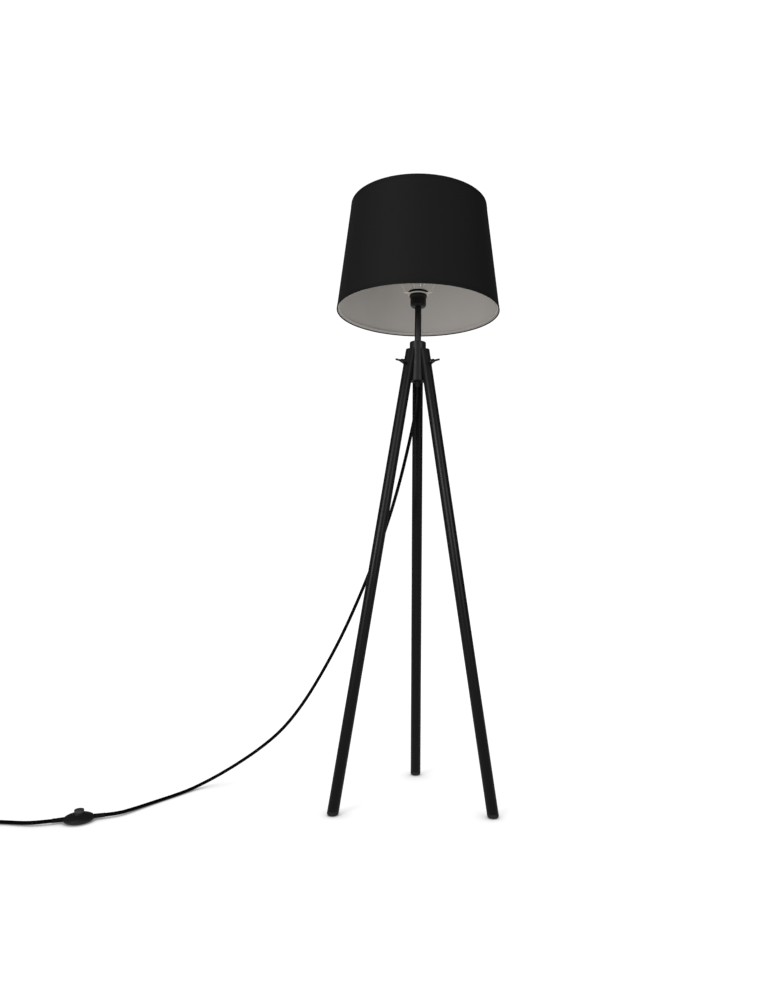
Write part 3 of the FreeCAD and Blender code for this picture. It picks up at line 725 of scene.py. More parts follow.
def coil_points(settings):
    """Two turns side by side and a third on top, from the coil's north point anticlockwise."""
    diameter = settings.diameter
    outer = settings.outer_turn
    inner = outer - diameter
    upper = outer - diameter / 2
    floor = diameter / 2
    top = floor + diameter * 0.88
    crossing = 0.83
    stations = [(0.0, outer, floor), (crossing, outer, floor), (1.0, inner, floor),
                (1.62, inner, floor), (crossing + 0.97, upper, top + 0.001), (2.0, upper, top + 0.001),
                (2.2, upper, top), (3.0, upper, top)]
    points = []
    steps = 3 * settings.points_per_turn
    for step in range(steps + 1):
        turn = 3.0 * step / steps
        for (start, radius_a, height_a), (end, radius_b, height_b) in zip(stations, stations[1:]):
            if start <= turn <= end:
                share = (turn - start) / (end - start)
                radius = radius_a + (radius_b - radius_a) * share
                height = height_a + (height_b - height_a) * share
        angle = math.radians(90) + 2 * math.pi * turn
        points.append((COIL_CENTRE.x + radius * math.cos(angle),
                       COIL_CENTRE.y + radius * math.sin(angle), height))
    return points


def make_cord(name, points, diameter, material):
    """One smooth cord along its route's points."""
    curve = bpy.data.curves.new(name, "CURVE")
    curve.dimensions = "3D"
    curve.resolution_u = 10
    curve.bevel_depth = diameter / 2
    curve.bevel_resolution = 5
    curve.use_fill_caps = True
    spline = curve.splines.new("NURBS")
    spline.points.add(len(points) - 1)
    for control, point in zip(spline.points, points):
        control.co = (*point, 1)
    spline.order_u = 3
    spline.use_endpoint_u = True
    curve.materials.append(material)
    piece = bpy.data.objects.new(name, curve)
    bpy.context.scene.collection.objects.link(piece)
    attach(piece, "stand")
    return piece


def sleeve_outline(length, root, tip, bore, ribs):
    """A tapered sleeve with grooves round it, from its root at 0 to its tip."""
    outline = [(bore, 0.0), (root, 0.0)]
    pitch = length / (ribs + 1)
    for rib in range(1, ribs + 1):
        at = rib * pitch
        radius = root + (tip - root) * at / length
        outline += [(radius, at - 0.55), (radius - 0.55, at - 0.25), (radius - 0.55, at + 0.25),
                    (radius, at + 0.55)]
    return outline + [(tip, length - 0.4), (tip - 0.3, length), (bore, length)]


def aimed(place, heading):
    """A frame at a place with its Z along a level heading and its Y up."""
    ahead = Vector((math.cos(heading), math.sin(heading), 0))
    up = Vector((0, 0, 1))
    side = up.cross(ahead)
    turn = Matrix((side, up, ahead)).transposed().to_4x4()
    return Matrix.Translation(place) @ turn


class LAMP_OT_cords(bpy.types.Operator):
    """Makes the mains cord in its two lengths, with its sleeves, grip and tie"""
    bl_idname = "lamp.cords"
    bl_label = "Mains Cord"

    def execute(self, context):
        settings = context.scene.lamp_cord
        sheath = cord_sheath("Black cord sheath", settings.colour)
        soft = moulded_plastic("Soft black sleeve", times(settings.colour, 1.5), 0.6)
        strap = moulded_plastic("Black strap", times(settings.colour, 2.0), 0.5)
        bore = settings.diameter / 2 / MM + 0.05
        hanging = make_cord("cord_to_switch", HANGING, settings.diameter, sheath)
        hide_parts("cord_hanging")
        onward = make_cord("cord_to_plug", ALONG_FLOOR + coil_points(settings) + TAIL,
                           settings.diameter, sheath)
        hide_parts("cord_floor", "cord_coil", "cord_tail")
        for end, side in (("in", -1), ("out", 1)):
            sleeve = turned("sleeve_" + end, sleeve_outline(30, 5.2, 4.6, bore, 7), 48)
            heading = SWITCH_HEADING + (0 if side > 0 else math.pi)
            put(sleeve, aimed(along_switch(side * RELIEF_ROOT), heading))
            finish(sleeve, "stand", "grip_plastic", soft, "switch_relief_" + end)
        tail_sleeve = turned("sleeve_plug", sleeve_outline(24, 5.4, 4.6, bore, 5), 48)
        put(tail_sleeve, aimed(along_plug(PLUG_SLEEVE), PLUG_HEADING + math.pi))
        finish(tail_sleeve, "stand", "grip_plastic", soft, "plug_relief")
        grip = turned("grip_hub", [
            (bore, 988), (4.6, 988), (5.1, 991), (4.6, 991.3), (4.65, 991.9), (5.3, 992.2), (5.8, 995),
            (5.3, 995.3), (5.35, 995.9), (6.0, 996.2), (6.6, 999.5), (8.1, 999.5), (8.5, 999.9),
            (8.5, 1001.6), (8.1, 1002), (7, 1002), (7, 1014), (bore, 1014)], 64)
        finish(put(grip, LAMP_AXIS), "stand", "grip_plastic", soft, "cord_grip")
        dress(sheath, "inner_lead")
        dress(strap, "cord_tie")
        return {"FINISHED"}


# ---------------------------------------------------------------- stage

class LAMP_OT_stage(bpy.types.Operator):
    """Makes the camera, the pale floor and the studio light"""
    bl_idname = "lamp.stage"
    bl_label = "Stage and Camera"

    def execute(self, context):
        settings = context.scene.lamp_stage
        self.make_camera(context, settings)
        self.make_floor(settings)
        self.make_room(context, settings)
        self.make_softboxes(settings)
        return {"FINISHED"}

    def make_camera(self, context, settings):
        """The camera stands low in front, a little to the lamp's right, and looks slightly up."""
        clear_bench()
        side = settings.camera_side
        place = Vector((settings.camera_distance * math.sin(side),
                        AXIS_Y - settings.camera_distance * math.cos(side), settings.camera_height))
        bpy.ops.object.camera_add(location=place)
        camera = context.object
        camera.name = "camera"
        turn = (Matrix.Rotation(side, 4, "Z")
                @ Matrix.Rotation(math.pi / 2 + settings.camera_pitch, 4, "X")
                @ Matrix.Rotation(settings.camera_roll, 4, "Z"))
        camera.matrix_world = Matrix.Translation(place) @ turn
        camera.data.sensor_width = 36
        camera.data.lens = settings.focal_length
        camera.data.shift_x = settings.sideways_shift
        camera.data.clip_start = 0.01
        context.scene.camera = camera

    def make_floor(self, settings):
        """Pale paper, lit evenly to white far from the lamp, with a painted contact shadow: its glow is
        painted darker close to the lamp's feet, the switch and the cord. It throws little light back on the
        lamp.
        """
        clear_bench()
        bpy.ops.mesh.primitive_plane_add(size=60, location=(0, 0, 0))
        floor = named("floor")
        colour = tuple(settings.floor_colour)
        paper = start_material("Pale seamless paper", colour, 0.9, {"Specular IOR Level": 0.0})
        fibres = noise(paper, place_in(paper, (0.05,) * 3), 4)
        link(paper, tinted(paper, fibres, (0.3, times(colour, 0.985)), (0.7, colour)), "Base Color")
        span = add(paper, "ShaderNodeVectorMath", operation="LENGTH")
        paper.node_tree.links.new(place_in(paper), span.inputs[0])
        # Painted contact shadow: ambient occlusion darkens the paper's glow close to the feet, the switch
        # and the cord.
        near = add(paper, "ShaderNodeAmbientOcclusion", {"Distance": 0.12}, samples=12)
        painted_contact_shadow = between(paper, near.outputs["AO"], settings.painted_shadow_depth, 0.0, 0.4, 0.98)
        even = between(paper, span.outputs["Value"], settings.floor_glow, 1.1, 0.9, 1.6)
        glow = combine(paper, "SUBTRACT", even, painted_contact_shadow)
        shader_of(paper).inputs["Emission Color"].default_value = (1, 1, 1, 1)
        link(paper, glow, "Emission Strength")
        dim = add(paper, "ShaderNodeEmission", {"Strength": settings.floor_return})
        rays = add(paper, "ShaderNodeLightPath")
        blend = add(paper, "ShaderNodeMixShader", {
            0: rays.outputs["Is Camera Ray"], 1: dim.outputs["Emission"],
            2: shader_of(paper).outputs["BSDF"]})
        output = paper.node_tree.nodes["Material Output"]
        paper.node_tree.links.new(blend.outputs["Shader"], output.inputs["Surface"])
        floor.data.materials.append(paper)

    def make_room(self, context, settings):
        """White behind the lamp as the camera sees it, and dim even light on the lamp."""
        world = bpy.data.worlds.new("studio")
        context.scene.world = world
        world.use_nodes = True
        tree = world.node_tree
        tree.nodes.clear()
        seen = tree.nodes.new("ShaderNodeBackground")
        seen.inputs["Strength"].default_value = 1.05
        lit = tree.nodes.new("ShaderNodeBackground")
        lit.inputs["Strength"].default_value = settings.room_light
        rays = tree.nodes.new("ShaderNodeLightPath")
        blend = tree.nodes.new("ShaderNodeMixShader")
        out = tree.nodes.new("ShaderNodeOutputWorld")
        for source in (seen, lit):
            source.inputs["Color"].default_value = (1, 1, 1, 1)
        tree.links.new(rays.outputs["Is Camera Ray"], blend.inputs[0])
        tree.links.new(lit.outputs["Background"], blend.inputs[1])
        tree.links.new(seen.outputs["Background"], blend.inputs[2])
        tree.links.new(blend.outputs["Shader"], out.inputs["Surface"])
        context.scene.view_settings.view_transform = "Standard"

    def make_softboxes(self, settings):
        """Each softbox has its place, what it points at, its width and height, and its share of power."""
        boxes = {
            "softbox_left": ((-1.9, -2.6, 1.75), (0, 0, 1.25), 0.9, 1.2, 1.35),
            "softbox_right": ((1.9, -2.5, 1.75), (0, 0, 1.25), 0.9, 1.2, 0.75),
            "softbox_top": ((-1.0, -1.5, 3.4), (0.2, 0, 0), 1.0, 1.0, 0.3),
        }
        for name, (place, target, width, height, share) in boxes.items():
            clear_bench()
            bpy.ops.object.light_add(type="AREA", location=place)
            box = bpy.context.object
            box.name = name
            box.data.shape = "RECTANGLE"
            box.data.size = width
            box.data.size_y = height
            box.data.energy = settings.softbox_power * share
            box.data.spread = settings.softbox_spread
            box.rotation_mode = "QUATERNION"
            box.rotation_quaternion = (Vector(target) - Vector(place)).to_track_quat("-Z", "Y")


# ---------------------------------------------------------------- stand

def along_leg(azimuth):
    """The direction up a leg that leans out towards this angle, in radians."""
    return Vector((-math.sin(LEAN) * math.cos(azimuth), -math.sin(LEAN) * math.sin(azimuth),
                   math.cos(LEAN)))


class LAMP_OT_legs(bpy.types.Operator):
    """Makes the three dowel legs and dresses their pads"""
    bl_idname = "lamp.legs"
    bl_label = "Dowel Legs"

    def execute(self, context):
        settings = context.scene.lamp_stand
        for place, azimuth in LEGS.items():
            wood = stained_wood("Black stained wood, %s leg" % place.replace("_", " "), place,
                                settings.wood_colour, settings.grain_length)
            leg = self.make_leg(place, math.radians(azimuth), settings.leg_edge)
            finish(leg, "stand", "leg_wood", wood, "leg_" + place)
        rubber = soft_rubber("Black rubber", (0.010, 0.010, 0.010))
        dress(rubber, *("foot_pad_" + place for place in LEGS))
        return {"FINISHED"}

    def make_leg(self, place, azimuth, edge):
        """A leaning dowel cut level at both ends, with eased rims."""
        bottom = low("leg_" + place).z
        top = high("leg_" + place).z
        screw = Vector(SCREWS[place]["pos_m"])
        lean = along_leg(azimuth)
        centre = screw + lean * ((bottom + top) / 2 - screw.z) / lean.z
        clear_bench()
        bpy.ops.mesh.primitive_cylinder_add(vertices=96, radius=LEG_RADIUS, depth=(top - bottom) * 1.05,
                                            location=centre, rotation=(0, -LEAN, azimuth))
        leg = named("dowel_" + place)
        edit(leg)
        bpy.ops.mesh.bisect(plane_co=(0, 0, bottom), plane_no=(0, 0, 1), use_fill=True, clear_inner=True)
        bpy.ops.mesh.select_all(action="SELECT")
        bpy.ops.mesh.bisect(plane_co=(0, 0, top), plane_no=(0, 0, 1), use_fill=True, clear_outer=True)
        for height in (bottom, top):
            choose(leg, "edges", lambda each: all(abs(v.co.z - height) < 0.00002 for v in each.verts))
            bpy.ops.mesh.bevel(offset=edge, segments=3, affect="EDGES")
        leave_edit()
        return leg


class LAMP_OT_hub(bpy.types.Operator):
    """Makes the fluted hub and dresses the pole"""
    bl_idname = "lamp.hub"
    bl_label = "Hub and Pole"

    def execute(self, context):
        settings = context.scene.lamp_stand
        paint = satin_paint("Satin black paint", settings.paint_colour, 0.48)
        hub = self.make_hub()
        finish(hub, "stand", "hub_metal", paint, "hub")
        pole_paint = satin_paint("Satin black pole paint", settings.pole_colour, 0.42)
        pole = turned("pole_tube", [(5.05, 1100), (7.6, 1100), (8.0, 1100.4), (8.0, 1187.6), (7.6, 1188),
                                    (5.05, 1188)], 64)
        finish(put(pole, LAMP_AXIS), "stand", "pole_metal", pole_paint, "pole")
        steel = plated_metal("Zinc plated steel", (0.62, 0.62, 0.6), 0.3)
        dress(steel, "nipple_lower", "nipple_upper")
        return {"FINISHED"}

    def make_hub(self):
        """A round block with a bore, cut by three leaning dowels a little larger than the legs."""
        bottom = low("hub").z / MM
        top = high("hub").z / MM
        outline = [(7.05, bottom), (19.3, bottom), (20.0, bottom + 0.7)]
        outline += arc(18.2, top - 1.8, 1.8, 0, 90, 6)
        outline += [(5.1, top), (5.1, 1085), (4.0, 1085), (4.0, 1014), (7.05, 1014)]
        hub = put(turned("hub_block", outline, 128), LAMP_AXIS)
        for place, azimuth in LEGS.items():
            angle = math.radians(azimuth)
            screw = Vector(SCREWS[place]["pos_m"])
            lean = along_leg(angle)
            clear_bench()
            bpy.ops.mesh.primitive_cylinder_add(
                vertices=128, radius=LEG_RADIUS + 0.0002, depth=0.30,
                location=screw - lean * 0.08, rotation=(0, -LEAN, angle))
            cutter = named("cutter")
            edit(cutter)
            bpy.ops.mesh.bisect(plane_co=(0, 0, high("leg_" + place).z + 0.0001), plane_no=(0, 0, 1),
                                use_fill=True, clear_outer=True)
            leave_edit()
            cut(hub, cutter)
        edit(hub)
        merge_close(0.00002)
        leave_edit()
        return soften(hub, 0.0004, 2, 40)


class LAMP_OT_wing_screws(bpy.types.Operator):
    """Makes the three wing screws and dresses their washers"""
    bl_idname = "lamp.wing_screws"
    bl_label = "Wing Screws"

    def execute(self, context):
        settings = context.scene.lamp_stand
        finish_coat = satin_paint("Black zinc", times(settings.paint_colour, 0.7), 0.4)
        for place, azimuth in LEGS.items():
            mirror = -1 if place == "front_left" else 1
            screw = self.make_screw("wing_" + place, mirror)
            angle = math.radians(azimuth)
            frame_of_screw = (Matrix.Translation(SCREWS[place]["pos_m"]) @ Matrix.Rotation(angle, 4, "Z")
                              @ Matrix.Rotation(math.pi / 2 - LEAN, 4, "Y"))
            put(screw, frame_of_screw)
            finish(screw, "wing_screw_" + place, "screw_metal", finish_coat, "wing_screw_" + place)
            dress(finish_coat, "washer_" + place)
        return {"FINISHED"}

    def make_blade(self, name):
        """One wing: a block extruded outwards along its S, then rounded."""
        clear_bench()
        bpy.ops.mesh.primitive_cube_add(size=1, location=(0.003, 0, 0.0048), scale=(0.003, 0.0054, 0.0066))
        blade = named(name)
        stations = [(0.0075, 0.0062, 0.0060), (0.0105, 0.0092, 0.0056), (0.0135, 0.0112, 0.0056),
                    (0.0168, 0.0119, 0.0058), (0.0198, 0.0119, 0.0052)]
        x, z, tall = 0.0045, 0.0048, 0.0062
        edit(blade, "FACE")
        choose(blade, "faces", lambda face: face.normal.x > 0.9)
        for next_x, next_z, next_tall in stations:
            extrude(next_x - x, 0, next_z - z)
            bpy.ops.transform.resize(value=(1, 0.96, next_tall / tall), center_override=(next_x, 0, next_z))
            x, z, tall = next_x, next_z, next_tall
        leave_edit()
        modify(blade, "BEVEL", width=0.0005, segments=2, limit_method="ANGLE", angle_limit=math.radians(60))
        modify(blade, "SUBSURF", levels=2, render_levels=2)
        return blade

    def make_screw(self, name, mirror):
        """Boss, threaded shaft and two wings along +Z from the leg's axis. Mirror sets its rest turn."""
        seat = 14.5
        shaft = [(1.0, -18.2), (2.5, -18.2), (3.0, -17.6)]
        for turn in range(16):
            at = -17.0 + turn
            shaft += [(3.0, at), (2.7, at + 0.5)]
        shaft += [(3.0, 0.0), (3.0, seat), (5.3, seat), (5.6, seat + 0.35)]
        shaft += [(4.7, seat + 7.2), (4.3, seat + 8.2), (3.4, seat + 8.5), (1.0, seat + 8.5)]
        body = turned(name, shaft, 48, closed=False)
        blade = self.make_blade("blade")
        other = twin(blade, "blade_other", Matrix.Rotation(math.pi, 4, "Z"))
        blades = join("blades", blade, other)
        turn = math.radians(90 + mirror * WING_TURN)
        put(blades, Matrix.Translation((0, 0, seat * MM)) @ Matrix.Rotation(turn, 4, "Z"))
        return join(name, body, blades)


# ---------------------------------------------------------------- lamp holder and bulb

class LAMP_OT_holder(bpy.types.Operator):
    """Makes the lamp holder and the shade ring, and dresses the parts inside"""
    bl_idname = "lamp.holder"
    bl_label = "Lamp Holder"

    def execute(self, context):
        settings = context.scene.lamp_holder
        plastic = moulded_plastic("Black thermoplastic", settings.plastic_colour, 0.42)
        ring_plastic = moulded_plastic("Black ring plastic", times(settings.plastic_colour, 1.1), 0.48)
        cap_outline = [(5.1, 1188)] + arc(12.5, 1195, 7, -90, 0, 10)
        cap_outline += [(19.5, 1199.4), (19.1, 1199.95), (12.0, 1199.95), (12.0, 1194), (5.1, 1194)]
        cap = turned("holder_dome", cap_outline, 128)
        finish(put(cap, LAMP_AXIS), "stand", "holder_plastic", plastic, "holder_cap")
        body = turned("holder_barrel", self.barrel_outline(), 128)
        finish(put(body, LAMP_AXIS), "stand", "holder_plastic", plastic, "holder_body")
        ring = self.make_ring()
        finish(ring, "shade_ring", "ring_plastic", ring_plastic, "shade_ring")
        dress(bare_ceramic("Unglazed ceramic", (0.78, 0.75, 0.70)), "holder_plate")
        brass = plated_metal("Brass", (0.72, 0.52, 0.22), 0.26)
        dress(brass, "holder_shell", "contact_centre", "contact_side")
        return {"FINISHED"}

    def barrel_outline(self):
        """Barrel with a rounded flange, and the thread above it."""
        outline = [(13.9, 1200.05), (19.1, 1200.05), (19.5, 1200.5), (19.5, 1211.0), (19.8, 1211.6)]
        outline += [(21.3, 1213.6), (21.8, 1214.6), (21.8, 1217.0)]
        outline += arc(20.4, 1217.4, 1.4, 0, 80, 5)
        outline += [(19.45, 1219.0)]
        for turn in range(5):
            at = 1219.4 + 2.0 * turn
            outline += [(18.9, at), (19.45, at + 0.6), (19.45, at + 1.0), (18.9, at + 1.6)]
        return outline + [(18.6, 1229.0), (13.9, 1229.0)]

    def make_ring(self):
        """A neck on the spider, and a wider rim with twelve scooped finger grips."""
        bottom = low("shade_ring").z / MM
        top = high("shade_ring").z / MM
        step_up = top - 1.8
        ring = turned("ring_nut", [(19.6, bottom), (21.8, bottom), (21.8, step_up), (25.6, step_up),
                                   (25.6, top), (19.6, top)], 144)
        for step in range(12):
            angle = math.radians(30 * step)
            clear_bench()
            bpy.ops.mesh.primitive_cylinder_add(
                vertices=48, radius=0.0026, depth=0.02,
                location=(0.0270 * math.cos(angle), 0.0270 * math.sin(angle), (bottom + top) / 2 * MM))
            cut(ring, named("cutter"))
        edit(ring)
        merge_close(0.00002)
        leave_edit()
        soften(ring, 0.0005, 3, 40)
        return put(ring, LAMP_AXIS)


class LAMP_OT_bulb(bpy.types.Operator):
    """Makes the clear bulb with its stem, wires and screw cap"""
    bl_idname = "lamp.bulb"
    bl_label = "Bulb"

    def execute(self, context):
        settings = context.scene.lamp_holder
        glass = clear_glass("Clear glass", settings.glass_tint)
        self.make_envelope(glass)
        self.make_stem(glass)
        self.make_cap()
        self.make_wires()
        black = moulded_plastic("Black glass insulator", (0.012, 0.012, 0.012), 0.25)
        dress(black, "bulb_insulator")
        return {"FINISHED"}

    def make_envelope(self, glass):
        """The glass globe on its neck, with a thin wall."""
        radius = 30.0
        centre = 1282.0
        outline = [(12.9, 1231.0), (13.5, 1233.0), (14.2, 1236.4), (14.8, 1240.0), (16.6, 1246.0),
                   (19.6, 1254.5)]
        outline += arc(0, centre, radius, -38, 89, 26)
        skin = turned_skin("glass_envelope", outline, 128)
        modify(skin, "SOLIDIFY", thickness=0.0009, offset=-1.0, use_rim=True)
        finish(put(skin, LAMP_AXIS), "bulb", "bulb_glass", glass, "bulb_glass", angle=60)

    def make_stem(self, glass):
        """The flared glass stem inside the globe."""
        outline = [(0.8, 1228.2), (9.2, 1228.2), (9.5, 1229.0), (9.3, 1233.0), (7.2, 1237.5), (4.6, 1242.5),
                   (3.5, 1246.5), (3.0, 1252.0), (2.4, 1258.0), (2.3, 1260.6), (1.5, 1262.2), (0.4, 1262.5)]
        stem = turned("glass_stem", outline, 48, closed=False)
        finish(put(stem, LAMP_AXIS), "bulb", "bulb_glass", glass, "bulb_stem", angle=60)

    def make_cap(self):
        """Screw cap with rolled threads, open on top for the glass."""
        outline = [(12.2, 1229.0), (12.2, 1230.9), (12.8, 1230.9), (12.8, 1229.4)]
        for turn in range(5):
            at = 1228.4 - 3.55 * turn
            outline += [(12.9, at + 0.3), (12.3, at - 0.5), (12.0, at - 1.4), (12.3, at - 2.3),
                        (12.9, at - 3.0)]
        outline += [(12.4, 1210.3), (11.0, 1210.0), (10.0, 1210.0), (10.0, 1210.9), (11.4, 1211.2)]
        outline += [(11.4, 1229.0)]
        cap = turned("screw_cap", outline, 96)
        aluminium = plated_metal("Spun aluminium", (0.72, 0.72, 0.73), 0.28)
        finish(put(cap, LAMP_AXIS), "bulb", "cap_metal", aluminium, "bulb_cap")
        dress(aluminium, "bulb_contact")

    def make_wires(self):
        """Lead wires, a support and the coiled filament between them."""
        filament = [(-13, 0, 1282)] + helix(0.8, 26, (-12.4, 0, 1282), (24.8, 0, 0), 8) + [(13, 0, 1282)]
        lead = [(3.0, 0, 1262), (6.0, 0, 1268), (11.6, 0, 1279), (13.2, 0, 1282.4)]
        other_lead = [(-x, y, z) for x, y, z in lead]
        support = [(0, 0, 1262), (0, 0, 1272), (0, 0.4, 1281.2)]
        wires = wire("bulb_wires", (filament, lead, other_lead, support), 0.35)
        steel = plated_metal("Grey wire", (0.32, 0.32, 0.33), 0.35)
        finish(put(wires, LAMP_AXIS), "bulb", "filament_steel", steel, "bulb_filament", angle=60)


# ---------------------------------------------------------------- shade

SHADE_BOTTOM = 1175.0
SHADE_TOP = 1441.5
SHADE_BOTTOM_RADIUS = 200.0
SHADE_TOP_RADIUS = 168.0
FABRIC = 0.8
LINING = 0.8
TAPE = 0.4
TAPE_HEIGHT = 9.0
TAPE_INSIDE = 1.8
SHADE_SIDES = 192


def shade_radius(height):
    """The fabric's outer radius at this height, in millimetres."""
    share = (height - SHADE_BOTTOM) / (SHADE_TOP - SHADE_BOTTOM)
    return SHADE_BOTTOM_RADIUS + (SHADE_TOP_RADIUS - SHADE_BOTTOM_RADIUS) * share


def wrap_map(piece):
    """A UV map in metres: u round the lamp's axis and v up, seam at the back."""
    mesh = piece.data
    layer = mesh.uv_layers.get("Wrap") or mesh.uv_layers.new(name="Wrap")
    round_it = SHADE_BOTTOM_RADIUS * MM
    for face in mesh.polygons:
        centre = face.center
        face_angle = math.atan2(centre.x, AXIS_Y - centre.y)
        for loop in face.loop_indices:
            place = mesh.vertices[mesh.loops[loop].vertex_index].co
            angle = math.atan2(place.x, AXIS_Y - place.y)
            if angle - face_angle > math.pi:
                angle -= 2 * math.pi
            if angle - face_angle < -math.pi:
                angle += 2 * math.pi
            layer.data[loop].uv = (angle * round_it, place.z)
    mesh.uv_layers.active = layer


class LAMP_OT_shade(bpy.types.Operator):
    """Makes the drum shade: fabric, seam, lining and the tape round both rims"""
    bl_idname = "lamp.shade"
    bl_label = "Drum Shade"

    def execute(self, context):
        settings = context.scene.lamp_shade
        cloth = woven_cloth("Black plain weave", settings.fabric_colour, settings.thread_pitch)
        tape_cloth = woven_cloth("Black edge tape", settings.tape_colour, settings.thread_pitch * 0.8, 0.15)
        white = laminate("Off-white laminate", settings.lining_colour)
        fabric = self.make_layer("drum_fabric", 0.0, FABRIC)
        finish(fabric, "shade", "shade_fabric", cloth, "shade_fabric")
        lining = self.make_layer("drum_lining", FABRIC, LINING)
        finish(lining, "shade", "lining_white", white, "shade_lining")
        seam = self.make_seam(settings.seam_width)
        finish(seam, "shade", "shade_fabric", cloth)
        tapes = []
        for name, edge, inward in (("bottom", SHADE_BOTTOM, 1), ("top", SHADE_TOP, -1)):
            tape = turned("rim_tape_" + name, self.tape_outline(edge, inward), SHADE_SIDES)
            finish(put(tape, LAMP_AXIS), "shade", "shade_tape", tape_cloth, "shade_tape_" + name, angle=50)
            tapes.append(tape)
        for piece in [fabric, lining, seam] + tapes:
            wrap_map(piece)
        self.declare(fabric, seam, tapes)
        return {"FINISHED"}

    def make_layer(self, name, inset, wall):
        """One layer of the drum's wall, inset from the outside."""
        inner = inset + wall
        heights = [SHADE_BOTTOM + (SHADE_TOP - SHADE_BOTTOM) * step / 6 for step in range(7)]
        outline = [(shade_radius(height) - inset, height) for height in heights]
        outline += [(shade_radius(height) - inner, height) for height in reversed(heights)]
        return put(turned(name, outline, SHADE_SIDES), LAMP_AXIS)

    def make_seam(self, width):
        """The fabric's overlap down the back: a strip spun round the lamp's axis, then thickened."""
        inset = TAPE_HEIGHT * 0.6
        bottom = SHADE_BOTTOM + inset
        top = SHADE_TOP - inset
        clear_bench()
        bpy.ops.mesh.primitive_plane_add(size=0.001, location=(0, 0, 0))
        seam = named("fabric_seam")
        edit(seam)
        bpy.ops.mesh.merge(type="CENTER")
        bpy.ops.transform.translate(value=(0, shade_radius(bottom) * MM + 0.0001, bottom * MM))
        extrude(0, (shade_radius(top) - shade_radius(bottom)) * MM, (top - bottom) * MM)
        bpy.ops.mesh.select_all(action="SELECT")
        angle = width / (SHADE_BOTTOM_RADIUS * MM)
        bpy.ops.mesh.spin(steps=6, angle=angle, center=(0, 0, 0), axis=(0, 0, 1))
        merge_close()
        leave_edit()
        modify(seam, "SOLIDIFY", thickness=0.0005, offset=1.0, use_rim=True)
        edit(seam)
        bpy.ops.mesh.normals_make_consistent(inside=False)
        leave_edit()
        soften(seam, 0.00015, 2, 40)
        return put(seam, LAMP_AXIS)

    def tape_outline(self, edge, inward):
        """Tape folded over a rim: edge is the rim's height, inward is +1 up or -1 down."""
        wall = FABRIC + LINING
        rim_radius = shade_radius(edge)
        turn_back = edge + inward * TAPE_HEIGHT
        inner_back = edge + inward * TAPE_INSIDE
        middle_radius = rim_radius - wall / 2
        reach = wall / 2 + TAPE
        outline = [(shade_radius(turn_back) + 0.1, turn_back),
                   (shade_radius(turn_back) + TAPE * 0.7, turn_back),
                   (shade_radius(turn_back) + TAPE, turn_back - inward * 0.5),
                   (rim_radius + TAPE, edge + inward * 0.3)]
        for step in range(1, 8):
            angle = math.pi * step / 8
            outline.append((middle_radius + reach * math.cos(angle),
                            edge + inward * 0.3 - inward * (TAPE + 0.3) * math.sin(angle)))
        outline += [(rim_radius - wall - TAPE, edge + inward * 0.3),
                    (shade_radius(inner_back) - wall - TAPE, inner_back - inward * 0.5),
                    (shade_radius(inner_back) - wall - TAPE * 0.7, inner_back),
                    (shade_radius(inner_back) - wall - 0.05, inner_back),
                    (rim_radius - wall - 0.05, edge), (rim_radius + 0.05, edge)]
        return outline

    def declare(self, fabric, seam, tapes):
        """The fabric is cut as part of a flat ring, which wraps into the tapered drum. This method does
        nothing.
        """


class LAMP_OT_shade_frame(bpy.types.Operator):
    """Makes the two wire rings and the spider that carries them"""
    bl_idname = "lamp.shade_frame"
    bl_label = "Shade Frame"

    def execute(self, context):
        settings = context.scene.lamp_shade
        coat = powder_coat("Cream powder coat", settings.frame_colour)
        white = powder_coat("White powder coat", settings.lining_colour)
        for name in ("top", "bottom"):
            node = "shade_wire_" + name
            thickness = (high(node).z - low(node).z) / 2
            clear_bench()
            bpy.ops.mesh.primitive_torus_add(
                major_segments=SHADE_SIDES, minor_segments=16,
                major_radius=(high(node).x - low(node).x) / 2 - thickness, minor_radius=thickness,
                location=(0, AXIS_Y, middle(node).z))
            finish(named("wire_ring_" + name), "shade", "frame_cream", white, node, angle=60)
        dress(coat, "spider")
        return {"FINISHED"}


# ---------------------------------------------------------------- foot switch and plug

